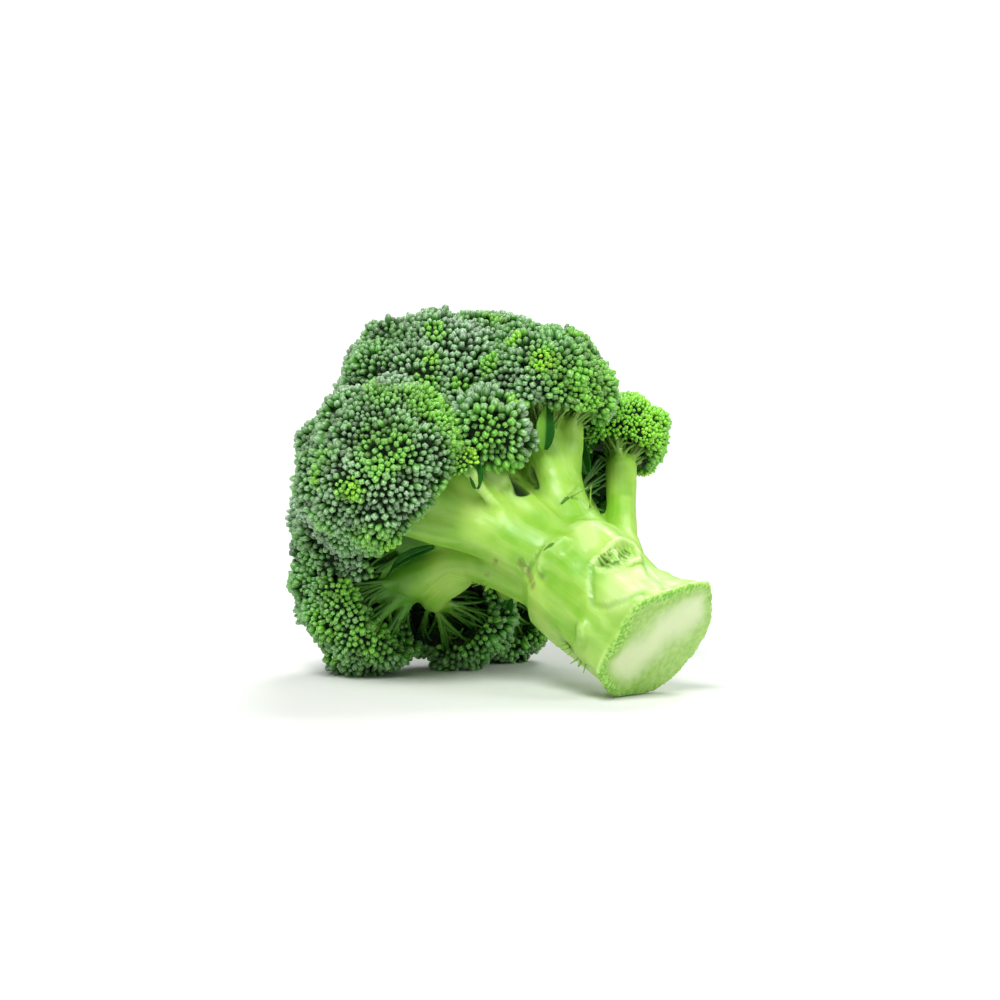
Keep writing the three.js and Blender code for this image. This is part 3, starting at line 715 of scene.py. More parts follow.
def cut_green(tree, where, grainy):
    """The cut end: moist flesh with a pale band of pith, and a rim of green fibres."""
    flesh = mixed(tree, stepped(tree, grainy, 0.3, 0.7), *CUT_GREEN)
    banded = mixed(tree, painted(tree, "pith"), flesh, CUT_PITH)
    fibres = mixed(tree, stepped(tree, noise(tree, where, 900.0), 0.4, 0.62), *CUT_RIM)
    return mixed(tree, painted(tree, "rim"), banded, fibres)


def marked(tree, where, stretched, skin):
    """Skin with its torn places, the painted shade of the gap between two branches, specks and bruises."""
    fibres = mixed(tree, stepped(tree, noise(tree, stretched, 1.1, 1.0), 0.45, 0.56), *TORN)
    torn = mixed(tree, sums(tree, "MULTIPLY", painted(tree, "torn"), 0.75), skin, fibres)
    # painted shade: the near-black gap between two branches
    gap_shade = mixed(tree, painted(tree, "gap_shade"), torn, GAP_SHADE)
    cells = node(tree, "TexVoronoi", {"Vector": where, "Scale": 520.0}, feature="F1")
    speck = sums(tree, "LESS_THAN", cells.outputs["Distance"], 0.1)
    rare = sums(tree, "MULTIPLY", speck, stepped(tree, noise(tree, where, 150.0), 0.62, 0.7))
    specked = mixed(tree, sums(tree, "MULTIPLY", rare, 0.4), gap_shade, SPECK)
    worn = stepped(tree, noise(tree, where, 700.0), 0.3, 0.6, 0.15, 0.75)
    return mixed(tree, sums(tree, "MULTIPLY", painted(tree, "bruise"), worn), specked, BRUISE)


def stalk_skin():
    """Moist pale green skin with fine streaks along the branches, and the cut flesh."""
    made, tree, shader, where = new_material("stalk skin")
    grain = node(tree, "Attribute", attribute_name="grain").outputs["Vector"]
    stretched = node(tree, "Mapping", {"Vector": grain, "Scale": (1.0, 1.0, 0.09)}).outputs["Vector"]
    streak = noise(tree, stretched, 0.28, 3.0, 0.5)
    grainy = noise(tree, where, 420.0, 4.0, 0.65)
    skin = stalk_green(tree, where, stretched, streak)
    whole = mixed(tree, painted(tree, "cut"), skin, cut_green(tree, where, grainy))
    colour = marked(tree, where, stretched, whole)
    tree.links.new(colour, shader.inputs["Base Color"])
    rough = stepped(tree, noise(tree, where, 330.0), 0.3, 0.7, 0.34, 0.56)
    tree.links.new(rough, shader.inputs["Roughness"])
    shader.inputs["Subsurface Weight"].default_value = 0.5
    shader.inputs["Subsurface Radius"].default_value = (0.5, 0.9, 0.25)
    shader.inputs["Subsurface Scale"].default_value = 0.003
    shader.inputs["Coat Weight"].default_value = 0.06
    height = sums(tree, "ADD", sums(tree, "MULTIPLY", streak, 0.8), sums(tree, "MULTIPLY", grainy, 0.12))
    tree.links.new(bumped(tree, height, 0.001, 0.45), shader.inputs["Normal"])
    return made


def leaf_skin():
    """A dark blue-green blade with painted light on one side of its rib, the half that is lit."""
    made, tree, shader, where = new_material("leaf skin")
    blade = mixed(tree, noise(tree, where, 240.0), *BLADE)
    # painted light on the lit half of the blade
    sided = mixed(tree, painted(tree, "light"), blade, BLADE_PAINTED_LIGHT)
    colour = mixed(tree, painted(tree, "rib"), sided, BLADE_RIB)
    tree.links.new(colour, shader.inputs["Base Color"])
    shader.inputs["Roughness"].default_value = 0.6
    shader.inputs["Specular IOR Level"].default_value = 0.1
    tree.links.new(bumped(tree, noise(tree, where, 900.0), 0.0003, 0.4), shader.inputs["Normal"])
    return made


BUD_SKIN = bud_skin()
CROWN_FLESH = crown_flesh()
TWIG_SKIN = twig_skin()
STALK_SKIN = stalk_skin()
LEAF_SKIN = leaf_skin()

# ---------------------------------------------------------------- modelled starts


def pick(piece, wanted):
    """In edit mode, selects the points for which wanted(co) holds, and nothing else."""
    bpy.ops.mesh.select_all(action="DESELECT")
    bpy.ops.object.mode_set(mode="OBJECT")
    for vertex in piece.data.vertices:
        vertex.select = bool(wanted(vertex.co))
    bpy.ops.object.mode_set(mode="EDIT")


def plain_mesh(piece):
    """The points and corner lists of a modelled start, which is then removed."""
    mesh = piece.data
    points = np.array([vertex.co for vertex in mesh.vertices])
    corners = np.array([i for polygon in mesh.polygons for i in polygon.vertices])
    sizes = np.array([len(polygon.vertices) for polygon in mesh.polygons])
    bpy.data.objects.remove(piece)
    bpy.data.meshes.remove(mesh)
    return points, corners, sizes


def modelled_bud():
    """One bud, a unit in radius and pointing up: an egg of four sepals on a narrow foot."""
    bpy.ops.object.select_all(action="DESELECT")
    bpy.ops.mesh.primitive_uv_sphere_add(segments=8, ring_count=5, radius=1)
    bud = bpy.context.object
    bpy.ops.object.mode_set(mode="EDIT")
    bpy.ops.mesh.select_mode(type="VERT")
    pick(bud, lambda co: co.z < -0.3)
    bpy.ops.transform.resize(value=(0.78, 0.78, 1.1), center_override=(0, 0, 0))
    pick(bud, lambda co: co.z > 0.7)
    bpy.ops.transform.resize(value=(0.92, 0.92, 0.97), center_override=(0, 0, 0))
    pick(bud, lambda co: co.z > -0.2 and min(abs(co.x), abs(co.y)) < ON_SEAM)
    bpy.ops.transform.resize(value=(0.83, 0.83, 0.92), center_override=(0, 0, 0))
    bpy.ops.mesh.select_all(action="SELECT")
    bpy.ops.transform.resize(value=(1, 1, BUD_LENGTH), center_override=(0, 0, 0))
    bpy.ops.object.mode_set(mode="OBJECT")
    return plain_mesh(bud)


def modelled_ball():
    """A ball of even triangles, a unit in radius."""
    bpy.ops.object.select_all(action="DESELECT")
    bpy.ops.mesh.primitive_ico_sphere_add(subdivisions=5, radius=1)
    return plain_mesh(bpy.context.object)


ON_SEAM = 0.05  # points this near to the planes between the sepals lie on a seam
BUD_POINTS, BUD_CORNERS, BUD_SIZES = modelled_bud()
BUD_ALONG = (BUD_POINTS[:, 2] - BUD_POINTS[:, 2].min()) / np.ptp(BUD_POINTS[:, 2])
BUD_SEAM = (np.abs(BUD_POINTS[:, :2]).min(1) < ON_SEAM).astype(float)
BALL_POINTS, BALL_CORNERS, BALL_SIZES = modelled_ball()

# ---------------------------------------------------------------- crowns

PAINTS = ("along", "shade", "bloom", "young", "seam")  # read by the materials of a crown

USUAL_LOOSE = 0.28  # how unevenly buds stand
BUD_FAN = 0.55  # how far buds point away from the root of their cluster
BUD_UPRIGHT = 0.45  # how far they point straight out of the crown
BUD_STRAY = 0.16
BUD_UNEVEN = 0.15  # of their radius
BUD_LONG = (0.9, 1.45)  # length of a bud over that of an even one
BUD_OVAL = (0.86, 1.14)
STRAY_YOUNG = 0.05  # share of the clusters that are young
PATCH_YOUNG = 0.34  # how young the buds of a patch are at the least
RIM_YOUNG = 0.3
RIM_BARE = 0.6  # share of the wax that is missing at the rim, and in a young patch
YOUNG_BARE = 0.75
CLUSTER_SHADE = 0.13  # how unevenly light the clusters are, and the buds of each
BUD_SHADE = 0.2
RISE_SHADE = 0.22  # painted light and shade: how much lighter the middle of a cluster is, and how much darker its edge

ARM_TAPER = np.array([0.55, 0.36, 0.24, 0.17, 0.12])  # an arm's radius, over its branch's end
ARM_LEAST = 0.75
ARM_SUNK = 0.7  # arms start this far below the branch's end, over its radius
ARM_SHORT = 0.08  # and end this far below the lobes' middles, over the crown's radius
ARM_RISE = 0.05
ARM_TURN = 0.45  # share of the way along an arm at which it turns
ARM_RINGS = len(ARM_TAPER)

TWIG_BURIED = 3.2  # the least depth of a twig's end under the surface through the buds
TWIG_FOLLOWS = 1.1  # how far a twig goes on along its arm before it turns, in rings of the arm
TWIG_SHOWS = 0.4  # how far the end of a twig stands out of the wall of the hollow
TWIG_ROUNDS = [(-1, 0.0), (-2, 2.0), (-3, 2.6), (-4, 3.2)]  # ring of the arm, and how far ends stray
TWIG_RINGS = 5
TWIG_THICK = 1.0
TWIG_THIN = 0.42
BUD_STALK = [0.45, 0.38, 0.5]  # radius from root to bud
RIM_STALKS = 0.12  # buds nearer to the rim than this have stalks
HOLLOW_RIM = 0.9  # the rim of the hollow lies no lower than this, over the crown's radius


class Clusters:
    """The clusters of a crown's buds: their directions, their middles and their roots."""

    def __init__(self, crown, seed):
        self.spacing = min(CLUSTER_SPACING, 0.75 * crown.radius)
        self.dirs = place_on(crown, self.spacing, seed + 1)
        self.points = self.dirs * crown.reach(self.dirs)[:, None]
        depth = min(CLUSTER_ROOT, 0.5 * crown.radius)
        self.roots = self.points - depth * crown.outward(self.dirs)


def fresh_patches(crown, cluster_points, random):
    """Where a crown's buds are young: the middle of each patch, its radius and how young it is."""
    fresh = crown.row.get("fresh", [])
    rows = [(np.array(point) - crown.middle, reach, most) for point, reach, most in fresh]
    for point in cluster_points[random.random(len(cluster_points)) < STRAY_YOUNG]:
        rows.append((point, random.uniform(3, 6), random.uniform(0.2, 0.8)))
    return rows


def youth(patches, points):
    """How young the buds at some points are, and how vivid a green."""
    young = np.zeros(len(points))
    green = np.zeros(len(points))
    for middle, reach, most in patches:
        near = 1 - smooth(0.35 * reach, 1.15 * reach, np.linalg.norm(points - middle, axis=1))
        young = np.maximum(young, most * near)
        green = np.maximum(green, near)
    return young, green


def bud_copies(crown, points, out, roots, size, swell, young, random):
    """A copy of the bud at each point, turned away from the root of its cluster, and its foot."""
    row = crown.row
    count = len(points)
    fan = unit(points - roots)
    axis = unit(BUD_UPRIGHT * out + BUD_FAN * fan + BUD_STRAY * random.normal(size=out.shape))
    uneven = row.get("loose", USUAL_LOOSE) * random.normal(size=count)
    centres = points + out * (np.clip(swell, -CLUSTER_RISE, 1.0) + uneven - BUD_SUNK * size)[:, None]
    plump = 1 + row.get("plump", 0.0) + YOUNG_PLUMPER * np.maximum(young, row.get("young_all", 0.0))
    radius = BUD_RADIUS * size * plump * np.exp(BUD_UNEVEN * random.normal(size=count))
    long = radius * random.uniform(*BUD_LONG, count)
    e1, e2 = across(axis)
    turn = random.uniform(0, 2 * math.pi, count)[:, None]
    first = e1 * np.cos(turn) + e2 * np.sin(turn)
    second = np.cross(axis, first)
    oval = random.uniform(*BUD_OVAL, count)
    turned = np.stack([first * (radius * oval)[:, None], second * radius[:, None], axis * long[:, None]], -1)
    copies = np.einsum("nij,vj->nvi", turned, BUD_POINTS) + centres[:, None]
    feet = centres - axis * (0.9 * long)[:, None]
    return copies, feet


def bud_paints(crown, points, owner, clusters, swell, young, green, rim, seed, random):
    """For each bud of a crown: how light it is painted, with painted light and shade, how waxy and how young
    it looks.
    """
    row = crown.row
    count = len(points)
    young = np.maximum(young, PATCH_YOUNG * green) + row.get("young_all", 0.0)
    young = np.clip(young * random.uniform(0.75, 1.15, count), 0, 1)
    patchy = 0.78 + 0.35 * ripple(points, 20, seed + 5)
    bloom = row["bloom"] * patchy * (1 - RIM_BARE * rim) * (1 - YOUNG_BARE * green)
    young = np.maximum(young, RIM_YOUNG * rim * random.uniform(0.3, 1.2, count))
    bloom = np.clip(bloom + 0.1 * random.normal(size=count), 0, 1)
    of_cluster = CLUSTER_SHADE * random.normal(size=len(clusters.points))[owner]
    # a crown's raised `light` is painted light on all its buds
    shade = row.get("light", 0.5) + BUD_SHADE * random.normal(size=count)
    # painted light on the middles of the clusters, painted shade at their edges
    shade = shade + RISE_SHADE * np.clip(swell, -1, 1) + of_cluster
    return dict(shade=np.clip(shade, 0, 1), bloom=bloom, young=young)


def add_buds(parts, crown, clusters, seed):
    """The buds of a crown: the cluster of each, its foot, and how near it is to the crown's rim."""
    random = np.random.default_rng(seed)
    patches = fresh_patches(crown, clusters.points, random)

    def sizes(points):
        """How large the bud at each point is, over the usual size."""
        uneven = 1 + 0.13 * ripple(points, 11, seed + 3)
        return crown.row.get("fine", 1.0) * uneven * (1 - YOUNG_SMALLER * youth(patches, points)[0])

    dirs = place_on(crown, BUD_SPACING, seed + 2, sizes)
    points = dirs * crown.reach(dirs)[:, None]
    owner, distance = nearest(points, clusters.points)
    swell = CLUSTER_RISE * (1 - (distance / (0.6 * clusters.spacing)) ** 2)
    young, green = youth(patches, points)
    rim = 1 - smooth(0.5, 9.0, crown.below(dirs) - crown.dome(dirs))
    out = crown.outward(dirs)
    copies, feet = bud_copies(crown, points, out, clusters.roots[owner], sizes(points), swell, young, random)
    paints = bud_paints(crown, points, owner, clusters, swell, young, green, rim, seed, random)
    number = len(points)
    each = len(BUD_POINTS)
    parts.add(
        copies + crown.middle,
        (BUD_CORNERS[None] + (np.arange(number) * each)[:, None]).reshape(-1),
        np.tile(BUD_SIZES, number),
        0,
        along=np.tile(BUD_ALONG, number),
        seam=np.tile(BUD_SEAM, number),
        **{paint: np.repeat(values, each) for paint, values in paints.items()},
    )
    return owner, feet, rim


def add_flesh(parts, crown):
    """The body of the crown under its buds: a cap, hollow from below, round a point of its axis."""
    depth = min(FLESH_DEPTH, 0.3 * crown.radius)
    height = CAP_HEIGHT * crown.radius
    top = crown.axis * height
    dirs = unit(BALL_POINTS)
    reach = dome_from(crown, top, dirs, depth) + FLESH_UNEVEN * ripple(dirs * crown.radius, 4.5, 40)
    for normal, limit in zip(crown.limit_normals, crown.limit_distances - FLESH_GAP):
        reach = np.minimum(reach, (limit - top @ normal) / np.maximum(dirs @ normal, TINY))
    room = crown.floor - depth - top @ DOWN
    reach = np.minimum(reach, room / np.maximum(dirs @ DOWN, TINY))
    rim = crown.underside[0]
    mouth = math.atan2(math.sqrt(1 - min(rim, HOLLOW_RIM) ** 2) * crown.radius, height + rim * crown.radius)
    angle = np.arccos(np.clip(-dirs @ crown.axis, -1, 1))
    reach = reach * smooth(mouth - 0.16, mouth + 0.02, angle)
    points = dirs * np.maximum(reach, FLESH_LEAST)[:, None] + top
    parts.add(points + crown.middle, BALL_CORNERS, BALL_SIZES, 1)


def dome_from(crown, top, dirs, depth):
    """How far it is from a point to the crown's domes, less a depth, found by halving."""
    near = np.zeros(len(dirs))
    far = np.full(len(dirs), 2.0 * crown.radius)
    for _ in range(CAP_HALVINGS):
        reach = 0.5 * (near + far)
        points = top + dirs * reach[:, None]
        away = np.linalg.norm(points, axis=1)
        outside = away > crown.dome(points / away[:, None]) - depth
        near = np.where(outside, near, reach)
        far = np.where(outside, reach, far)
    return near


def arm_paths(crown):
    """The arms of the fork under a crown, one to each lobe, about the crown's middle."""
    fork = crown.fork - crown.middle
    last = crown.row["girth"][-1]
    ends = crown.lobes - crown.axis * (ARM_SHORT * crown.radius)
    starts = np.repeat(fork[None], len(ends), 0) - crown.axis * ARM_SUNK * last
    middles = (1 - ARM_TURN) * starts + ARM_TURN * ends + crown.axis * (ARM_RISE * crown.radius)
    return bent(starts, middles, ends, ARM_RINGS)


def arm_girth(crown):
    """An arm's radius at each of its rings."""
    return np.maximum(ARM_LEAST, ARM_TAPER * crown.row["girth"][-1])


def hollow_wall(crown):
    """The hollow under a crown's body is a cone: the height of its point, and its slope."""
    rim = min(crown.underside[0], HOLLOW_RIM)
    height = CAP_HEIGHT * crown.radius
    return height, (height + rim * crown.radius) / (math.sqrt(1 - rim * rim) * crown.radius)


def add_twigs(parts, crown, clusters):
    """Above the arms of the fork: branchlets to each cluster, in fans from the arms' last rings."""
    lobe_of = (clusters.dirs @ unit(crown.lobes).T).argmax(1)
    paths = arm_paths(crown)
    girth = arm_girth(crown)
    roots = clusters.roots
    random = np.random.default_rng(len(roots))
    height, slope = hollow_wall(crown)
    up = roots @ crown.axis
    out = np.linalg.norm(roots - up[:, None] * crown.axis, axis=1)
    inside = np.maximum(0, up - (height - out * slope) + TWIG_SHOWS)
    ends = roots - inside[:, None] * crown.axis
    # painted shade: the twigs of a dimmer crown are painted further towards the deep green
    pale, deep = 0.1 + 0.3 * crown.dim, 0.3 + 0.45 * crown.dim
    for ring, astray in TWIG_ROUNDS:
        tips = ends + astray * random.normal(size=ends.shape)
        away = np.linalg.norm(tips, axis=1)
        way = tips / away[:, None]
        most = np.minimum(np.minimum(crown.dome(way), crown.ground(way)), crown.neighbours(way))
        tips = way * np.minimum(away, most - TWIG_BURIED)[:, None]
        begin = paths[lobe_of, ring]
        onward = begin + TWIG_FOLLOWS * (begin - paths[lobe_of, ring - 1])
        knee = 0.75 * onward + 0.25 * tips
        slim = np.linspace(min(TWIG_THICK, 0.7 * girth[ring]), TWIG_THIN, TWIG_RINGS)
        add_tubes(parts, crown, bent(begin, knee, tips, TWIG_RINGS), slim, 4, pale, deep)


def add_bud_stalks(parts, crown, roots, feet):
    """A stalk from the root of its cluster to each bud that can be seen from below."""
    stalks = np.linspace(roots, feet, len(BUD_STALK)).transpose(1, 0, 2)
    add_tubes(parts, crown, stalks, np.array(BUD_STALK), 3, 0.5, 0.85)


def add_tubes(parts, crown, paths, radii, sides, pale, deep):
    """Twigs of one taper, painted from one green to another along their length."""
    count, rings, _ = paths.shape
    points, corners, sizes = tubes(paths, np.tile(radii, (count, 1)), sides)
    along = np.tile(np.repeat(np.linspace(pale, deep, rings), sides), count)
    parts.add(points + crown.middle, corners, sizes, 2, along=along)


def crown_piece(name, seed):
    """One crown: its buds, the body under them, and the twigs that carry them."""
    crown = Crown(name)
    clusters = Clusters(crown, seed)
    parts = Parts(PAINTS)
    owner, feet, rim = add_buds(parts, crown, clusters, seed)
    add_flesh(parts, crown)
    add_twigs(parts, crown, clusters)
    low = rim > RIM_STALKS
    if low.any():
        add_bud_stalks(parts, crown, clusters.roots[owner[low]], feet[low])
    piece = parts.mesh(name.replace("floret", "crown"), [BUD_SKIN, CROWN_FLESH, TWIG_SKIN])
    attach(piece, "root")
    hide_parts(name)


for number, name in enumerate(FLORETS):
    crown_piece(name, 100 * (number + 1))

# ---------------------------------------------------------------- stalk

FILLET = 2.4  # width of the webs between branches
ARM_FILLET = 1.3
ROUGH_VOXEL = 1.1
SKIN_VOXEL = 0.94
INTO_CROWN = 0.25  # share of the way to its crown's middle that a branch goes on past its fork
INTO_CROWN_GIRTH = 0.6
FARTHEST = 1e9
SKIN_UNEVEN = 0.5  # broad swells of the skin, and fine ones
SKIN_FINE = 0.12
TORN_FIBRES = 0.45
CUT_UNEVEN = 0.35
FIT_STEP = 2  # the farthest that a point is drawn in one round
PITH_ACROSS = (0.795, -0.607)  # the way across the pale band of the cut end
PITH_SHIFT = 1
PITH_UNEVEN = 1.6
PITH_FADE = (13.5, 1.5)  # the band fades in between these distances from its middle line
PITH_INWARD = (3, 9)  # and between these from the edge
RIM_FADE = (5.2, 1.6)  # the rim fades in between these distances from the edge
RIM_UNEVEN = 0.9
CUT_FADE = (1.3, 0.5)  # the cut's paint fades in between these heights over it
CREASE_FADE = (0.12, 0.5)  # depths of a crease, over which its painted shade fades in
RIDGE_FADE = (0.04, 0.22)  # heights of a ridge
CROWN_FADE = (1.12, 0.72)  # distances from a crown's middle, over its radius, over which painted shade on the stalk fades in
LOW_FADE = (-74, -90)  # heights towards the cut
# painted shade: how dark the creases are
CREASE_DARK = 0.35
RIDGE_PALE = 0.5
LINE_PALE = 0.5
LOW_PALE = 0.16
LINE_DARK = 0.32

# Lines on the stalk: where, half width, height over the skin, and the paint that goes with them.
MARKS = [
    # the torn scar of a leaf, with its lower and upper lips and the swelling below it
    dict(line=[(17, -10, -72), (18.4, -4, -71.4), (18, 2.6, -70.4)], wide=4.6, high=-2.3, paint="torn"),
    dict(line=[(15.2, -12.8, -73.4), (17.4, -9.5, -76), (18.2, -4, -76.4), (17.4, 2.4, -75.4)],
         wide=1.5, high=1.1, paint="pale"),
    dict(line=[(14.8, -12.6, -69.6), (17.8, -8.6, -68.4), (19.4, -3.6, -66.8), (18.8, 3, -65.4),
               (17.6, 8, -66.8), (16.8, 7, -71), (17.2, 4, -75)], wide=1.3, high=0.9, paint="pale"),
    dict(line=[(16.6, -9, -80), (12.5, -14.5, -86)], wide=8.5, high=0.6, paint="pale"),
    # grooves from that scar down to the cut
    dict(line=[(14.4, -12.4, -70), (10, -16, -75.6), (6, -19, -81), (8, -17.8, -85.6), (12.4, -15, -89.5),
               (15, -10, -91)], wide=1.6, high=-0.3, paint="deep"),
    dict(line=[(16.6, 6.6, -72), (17, 0.4, -83.4), (17.3, -2.2, -92)], wide=1.2, high=-0.45, paint="deep"),
    # the gap between two branches, painted near-black as shade, and the swelling beside it
    dict(line=[(20, -6.5, -21), (17.6, -7.5, -25.8), (17, -8.4, -27.6)], wide=3.2, high=-4.0, paint="gap_shade"),
    dict(line=[(18.8, -15.2, -17), (17.2, -13.2, -20.6)], wide=3.6, high=0.8, paint="pale"),
    # grooves beside the buds that lie in the skin
    dict(line=[(-0.4, -18, -50.1), (4.5, -17.8, -51), (9.3, -16.8, -51.5), (15.4, -13.4, -54.4)],
         wide=1.0, high=-0.6, paint="deep"),
    dict(line=[(18.2, 3, -37.6), (21.3, 6.8, -36.3), (23, 9.5, -35.6)], wide=0.9, high=-0.5, paint="deep"),
    # bruised cracks where branches part, a darker patch on a branch, and the edge of a crack
    dict(line=[(1.6, -18, -46.8), (-1, -18, -50.6), (-2.6, -18.6, -54.5)],
         wide=2.2, high=-0.5, paint="bruise"),
    dict(line=[(-2.5, -21.3, -38.3), (-8, -19.5, -36), (-12.6, -15.8, -31.8)],
         wide=1.1, high=-0.4, paint="bruise"),
    dict(line=[(22, 36.4, -29), (18.6, 32, -36.4)], wide=3.4, high=-0.3, paint="deep"),
    dict(line=[(0, -18.2, -49), (-1.2, -18.4, -52.6)], wide=1.0, high=0.3, paint="pale"),
    # low ridges along the trunk, two of them without a paint, and a groove by its torn edge
    dict(line=[(8, -18.5, -60), (4, -19.6, -72), (0, -20.6, -84)], wide=8, high=0.9, paint=None),
    dict(line=[(6.4, -19.4, -78), (0, -20.8, -81), (-6.5, -21.4, -84)], wide=2.6, high=0.4, paint=None),
    dict(line=[(-12.6, -17.4, -72), (-13.6, -17.6, -82)], wide=1.8, high=-0.5, paint="deep"),
    dict(line=[(19, -4, -52), (17.6, -9, -62)], wide=5, high=0.6, paint="pale"),
]
MARK_EDGE = (0.35, 1)  # a mark's relief fades between these shares of its half width
PAINT_EDGE = (0.3, 1)  # and its paint between these
# the gap's painted shade fades between these shares of its half width
GAP_SHADE_EDGE = (0.6, 1.2)
DEPTH_COUNTS = 0.3  # how much depth under the skin counts in the distance from a mark's line


def curve_through(points, values, steps):
    """A smooth curve through points, with values carried along it."""
    points = np.array(points, float)
    padded = np.concatenate([2 * points[:1] - points[1:2], points, 2 * points[-1:] - points[-2:-1]])
    values = np.array(values, float)
    found = []
    carried = []
    for i in range(len(points) - 1):
        p0, p1, p2, p3 = padded[i:i + 4]
        for t in np.linspace(0, 1, steps, endpoint=False):
            found.append(0.5 * (2 * p1 + (p2 - p0) * t + (2 * p0 - 5 * p1 + 4 * p2 - p3) * t**2
                                + (3 * p1 - p0 - 3 * p2 + p3) * t**3))
            carried.append(values[i] + (values[i + 1] - values[i]) * t)
    found.append(points[-1])
    carried.append(values[-1])
    return np.array(found), np.array(carried)


class Stem:
    """A round stem along a smooth path: its distance, way out and grain."""

    def __init__(self, points, girth, steps=4):
        self.points, self.radii = curve_through(points, girth, steps)
        tangents = unit(np.gradient(self.points, axis=0))
        side = np.array([1.0, 0, 0])
        sides = []
        for tangent in tangents:
            side = unit(side - tangent * (side @ tangent))
            sides.append(side)
        self.sides = np.array(sides)
        self.others = np.cross(tangents, self.sides)
        lengths = np.linalg.norm(np.diff(self.points, axis=0), axis=1)
        self.run = self.points[0, 2] + np.concatenate([[0], np.cumsum(lengths)])
        margin = max(self.radii) + 2 * FILLET
        self.low = self.points.min(0) - margin
        self.high = self.points.max(0) + margin

    def near(self, where):
        """Which points are near enough for the stem to matter to them."""
        return ((where > self.low) & (where < self.high)).all(1)

    def measure(self, where):
        """How far points are outside the stem, the way out, and the grain: across it and along it."""
        best = np.full(len(where), FARTHEST)
        way = np.zeros((len(where), 3))
        grain = np.zeros((len(where), 3))
        for i in range(len(self.points) - 1):
            t, off = from_line(where, self.points[i], self.points[i + 1])
            far = np.sqrt((off * off).sum(1))
            gap = far - (self.radii[i] + t * (self.radii[i + 1] - self.radii[i]))
            closer = gap < best
            best = np.where(closer, gap, best)
            way[closer] = off[closer] / far[closer, None]
            s = t[closer, None]
            side = (1 - s) * self.sides[i] + s * self.sides[i + 1]
            other = (1 - s) * self.others[i] + s * self.others[i + 1]
            grain[closer, 0] = self.points[0, 0] + (off[closer] * side).sum(1)
            grain[closer, 1] = self.points[0, 1] + (off[closer] * other).sum(1)
            grain[closer, 2] = self.run[i] + s[:, 0] * (self.run[i + 1] - self.run[i])
        return best, way, grain


def from_line(where, a, b):
    """The share of the way from a to b that is nearest to each point, and the offset from there."""
    ab = b - a
    t = np.clip((where - a) @ ab / (ab @ ab), 0, 1)
    return t, where - a - t[:, None] * ab


def along_line(where, way, line):
    """The distance of each point from a line of points, where depth along its way out counts less."""
    best = np.full(len(where), FARTHEST)
    line = np.array(line, float)
    for a, b in zip(line[:-1], line[1:]):
        _, off = from_line(where, a, b)
        deep = (1 - DEPTH_COUNTS) * (off * way).sum(1)
        best = np.minimum(best, np.linalg.norm(off - deep[:, None] * way, axis=1))
    return best


def trunk_radius(turn, height):
    """The trunk's radius at a turn about +Z and a height."""
    outline = np.array(CUT_OUTLINE + CUT_OUTLINE[:1])
    steps = np.linspace(0, 2 * math.pi, len(outline))
    cut = np.interp(np.mod(turn, 2 * math.pi), steps, outline)
    cut = np.minimum(cut, CUT_LOWEST / np.maximum(-np.cos(turn), TINY))
    radius = np.interp(height, TRUNK_HEIGHT, TRUNK_RADIUS)
    share = np.interp(height, TRUNK_HEIGHT, TRUNK_CUT_SHARE)
    oval = radius * (1 + OVAL_BY * np.cos(2 * (turn - OVAL_TURN))) + RIB_HEIGHT * np.cos(RIBS * turn)
    waist = np.interp(height, TRUNK_HEIGHT, TRUNK_WAIST)
    oval = oval - waist * np.maximum(0, np.cos(turn - WAIST_TURN))
    flare = CUT_FLARE * smooth(CUT_Z + CUT_FLARE_HEIGHT, CUT_Z, height)
    return share * cut + (1 - share) * oval + flare


def trunk_measure(where):
    """How far points are outside the trunk, the way out, and its grain."""
    turn = np.arctan2(where[:, 1], where[:, 0])
    out = np.hypot(where[:, 0], where[:, 1])
    height = np.clip(where[:, 2], TRUNK_HEIGHT[0], TRUNK_HEIGHT[-1])
    gap = out - trunk_radius(turn, height)
    way = np.stack([np.cos(turn), np.sin(turn), np.zeros_like(turn)], -1)
    above = where[:, 2] - TRUNK_HEIGHT[-1]
    gap = np.where(above > gap, above, gap)
    return gap, way, where.copy()


def scar_measure(scar, where):
    """The same for a leaf scar, a low shelf on the trunk that slopes down."""
    angle = math.radians(scar["turn"])
    radius = np.interp(scar["height"], TRUNK_HEIGHT, TRUNK_RADIUS)
    size = np.array(scar["size"], float)
    out = np.array([math.cos(angle), math.sin(angle), 0])
    round_it = np.array([-math.sin(angle), math.cos(angle), 0])
    local = where - out * (radius - SCAR_SUNK * size[0]) - np.array([0, 0, scar["height"]])
    x = local @ out
    z = local[:, 2]
    flat = np.stack([
        (x * math.cos(SCAR_TILT) + z * math.sin(SCAR_TILT)) / size[0],
        (local @ round_it) / size[1],
        (z * math.cos(SCAR_TILT) - x * math.sin(SCAR_TILT)) / size[2],
    ], -1)
    gap = (np.linalg.norm(flat, axis=1) - 1) * size.min()
    return gap, unit(local + 1e-9), where.copy()


def joined(a, b, width):
    """Two shapes run together with a fillet of some width."""
    share = np.clip(0.5 + 0.5 * (b[0] - a[0]) / width, 0, 1)
    gap = b[0] + (a[0] - b[0]) * share - width * share * (1 - share)
    s = share[:, None]
    return gap, unit(b[1] + (a[1] - b[1]) * s + 1e-9), b[2] + (a[2] - b[2]) * s


def main_stems():
    """The branches, each going on a little way into its crown, and the limbs between them."""
    stems = []
    for row in FLORETS.values():
        fork = np.array(row["branch"][-1], float)
        inside = (1 - INTO_CROWN) * fork + INTO_CROWN * np.array(row["crown"])
        girth = row["girth"] + [INTO_CROWN_GIRTH * row["girth"][-1]]
        stems.append(Stem(row["branch"] + [tuple(inside)], girth))
    return stems + [Stem(limb["path"], limb["girth"]) for limb in LIMBS]


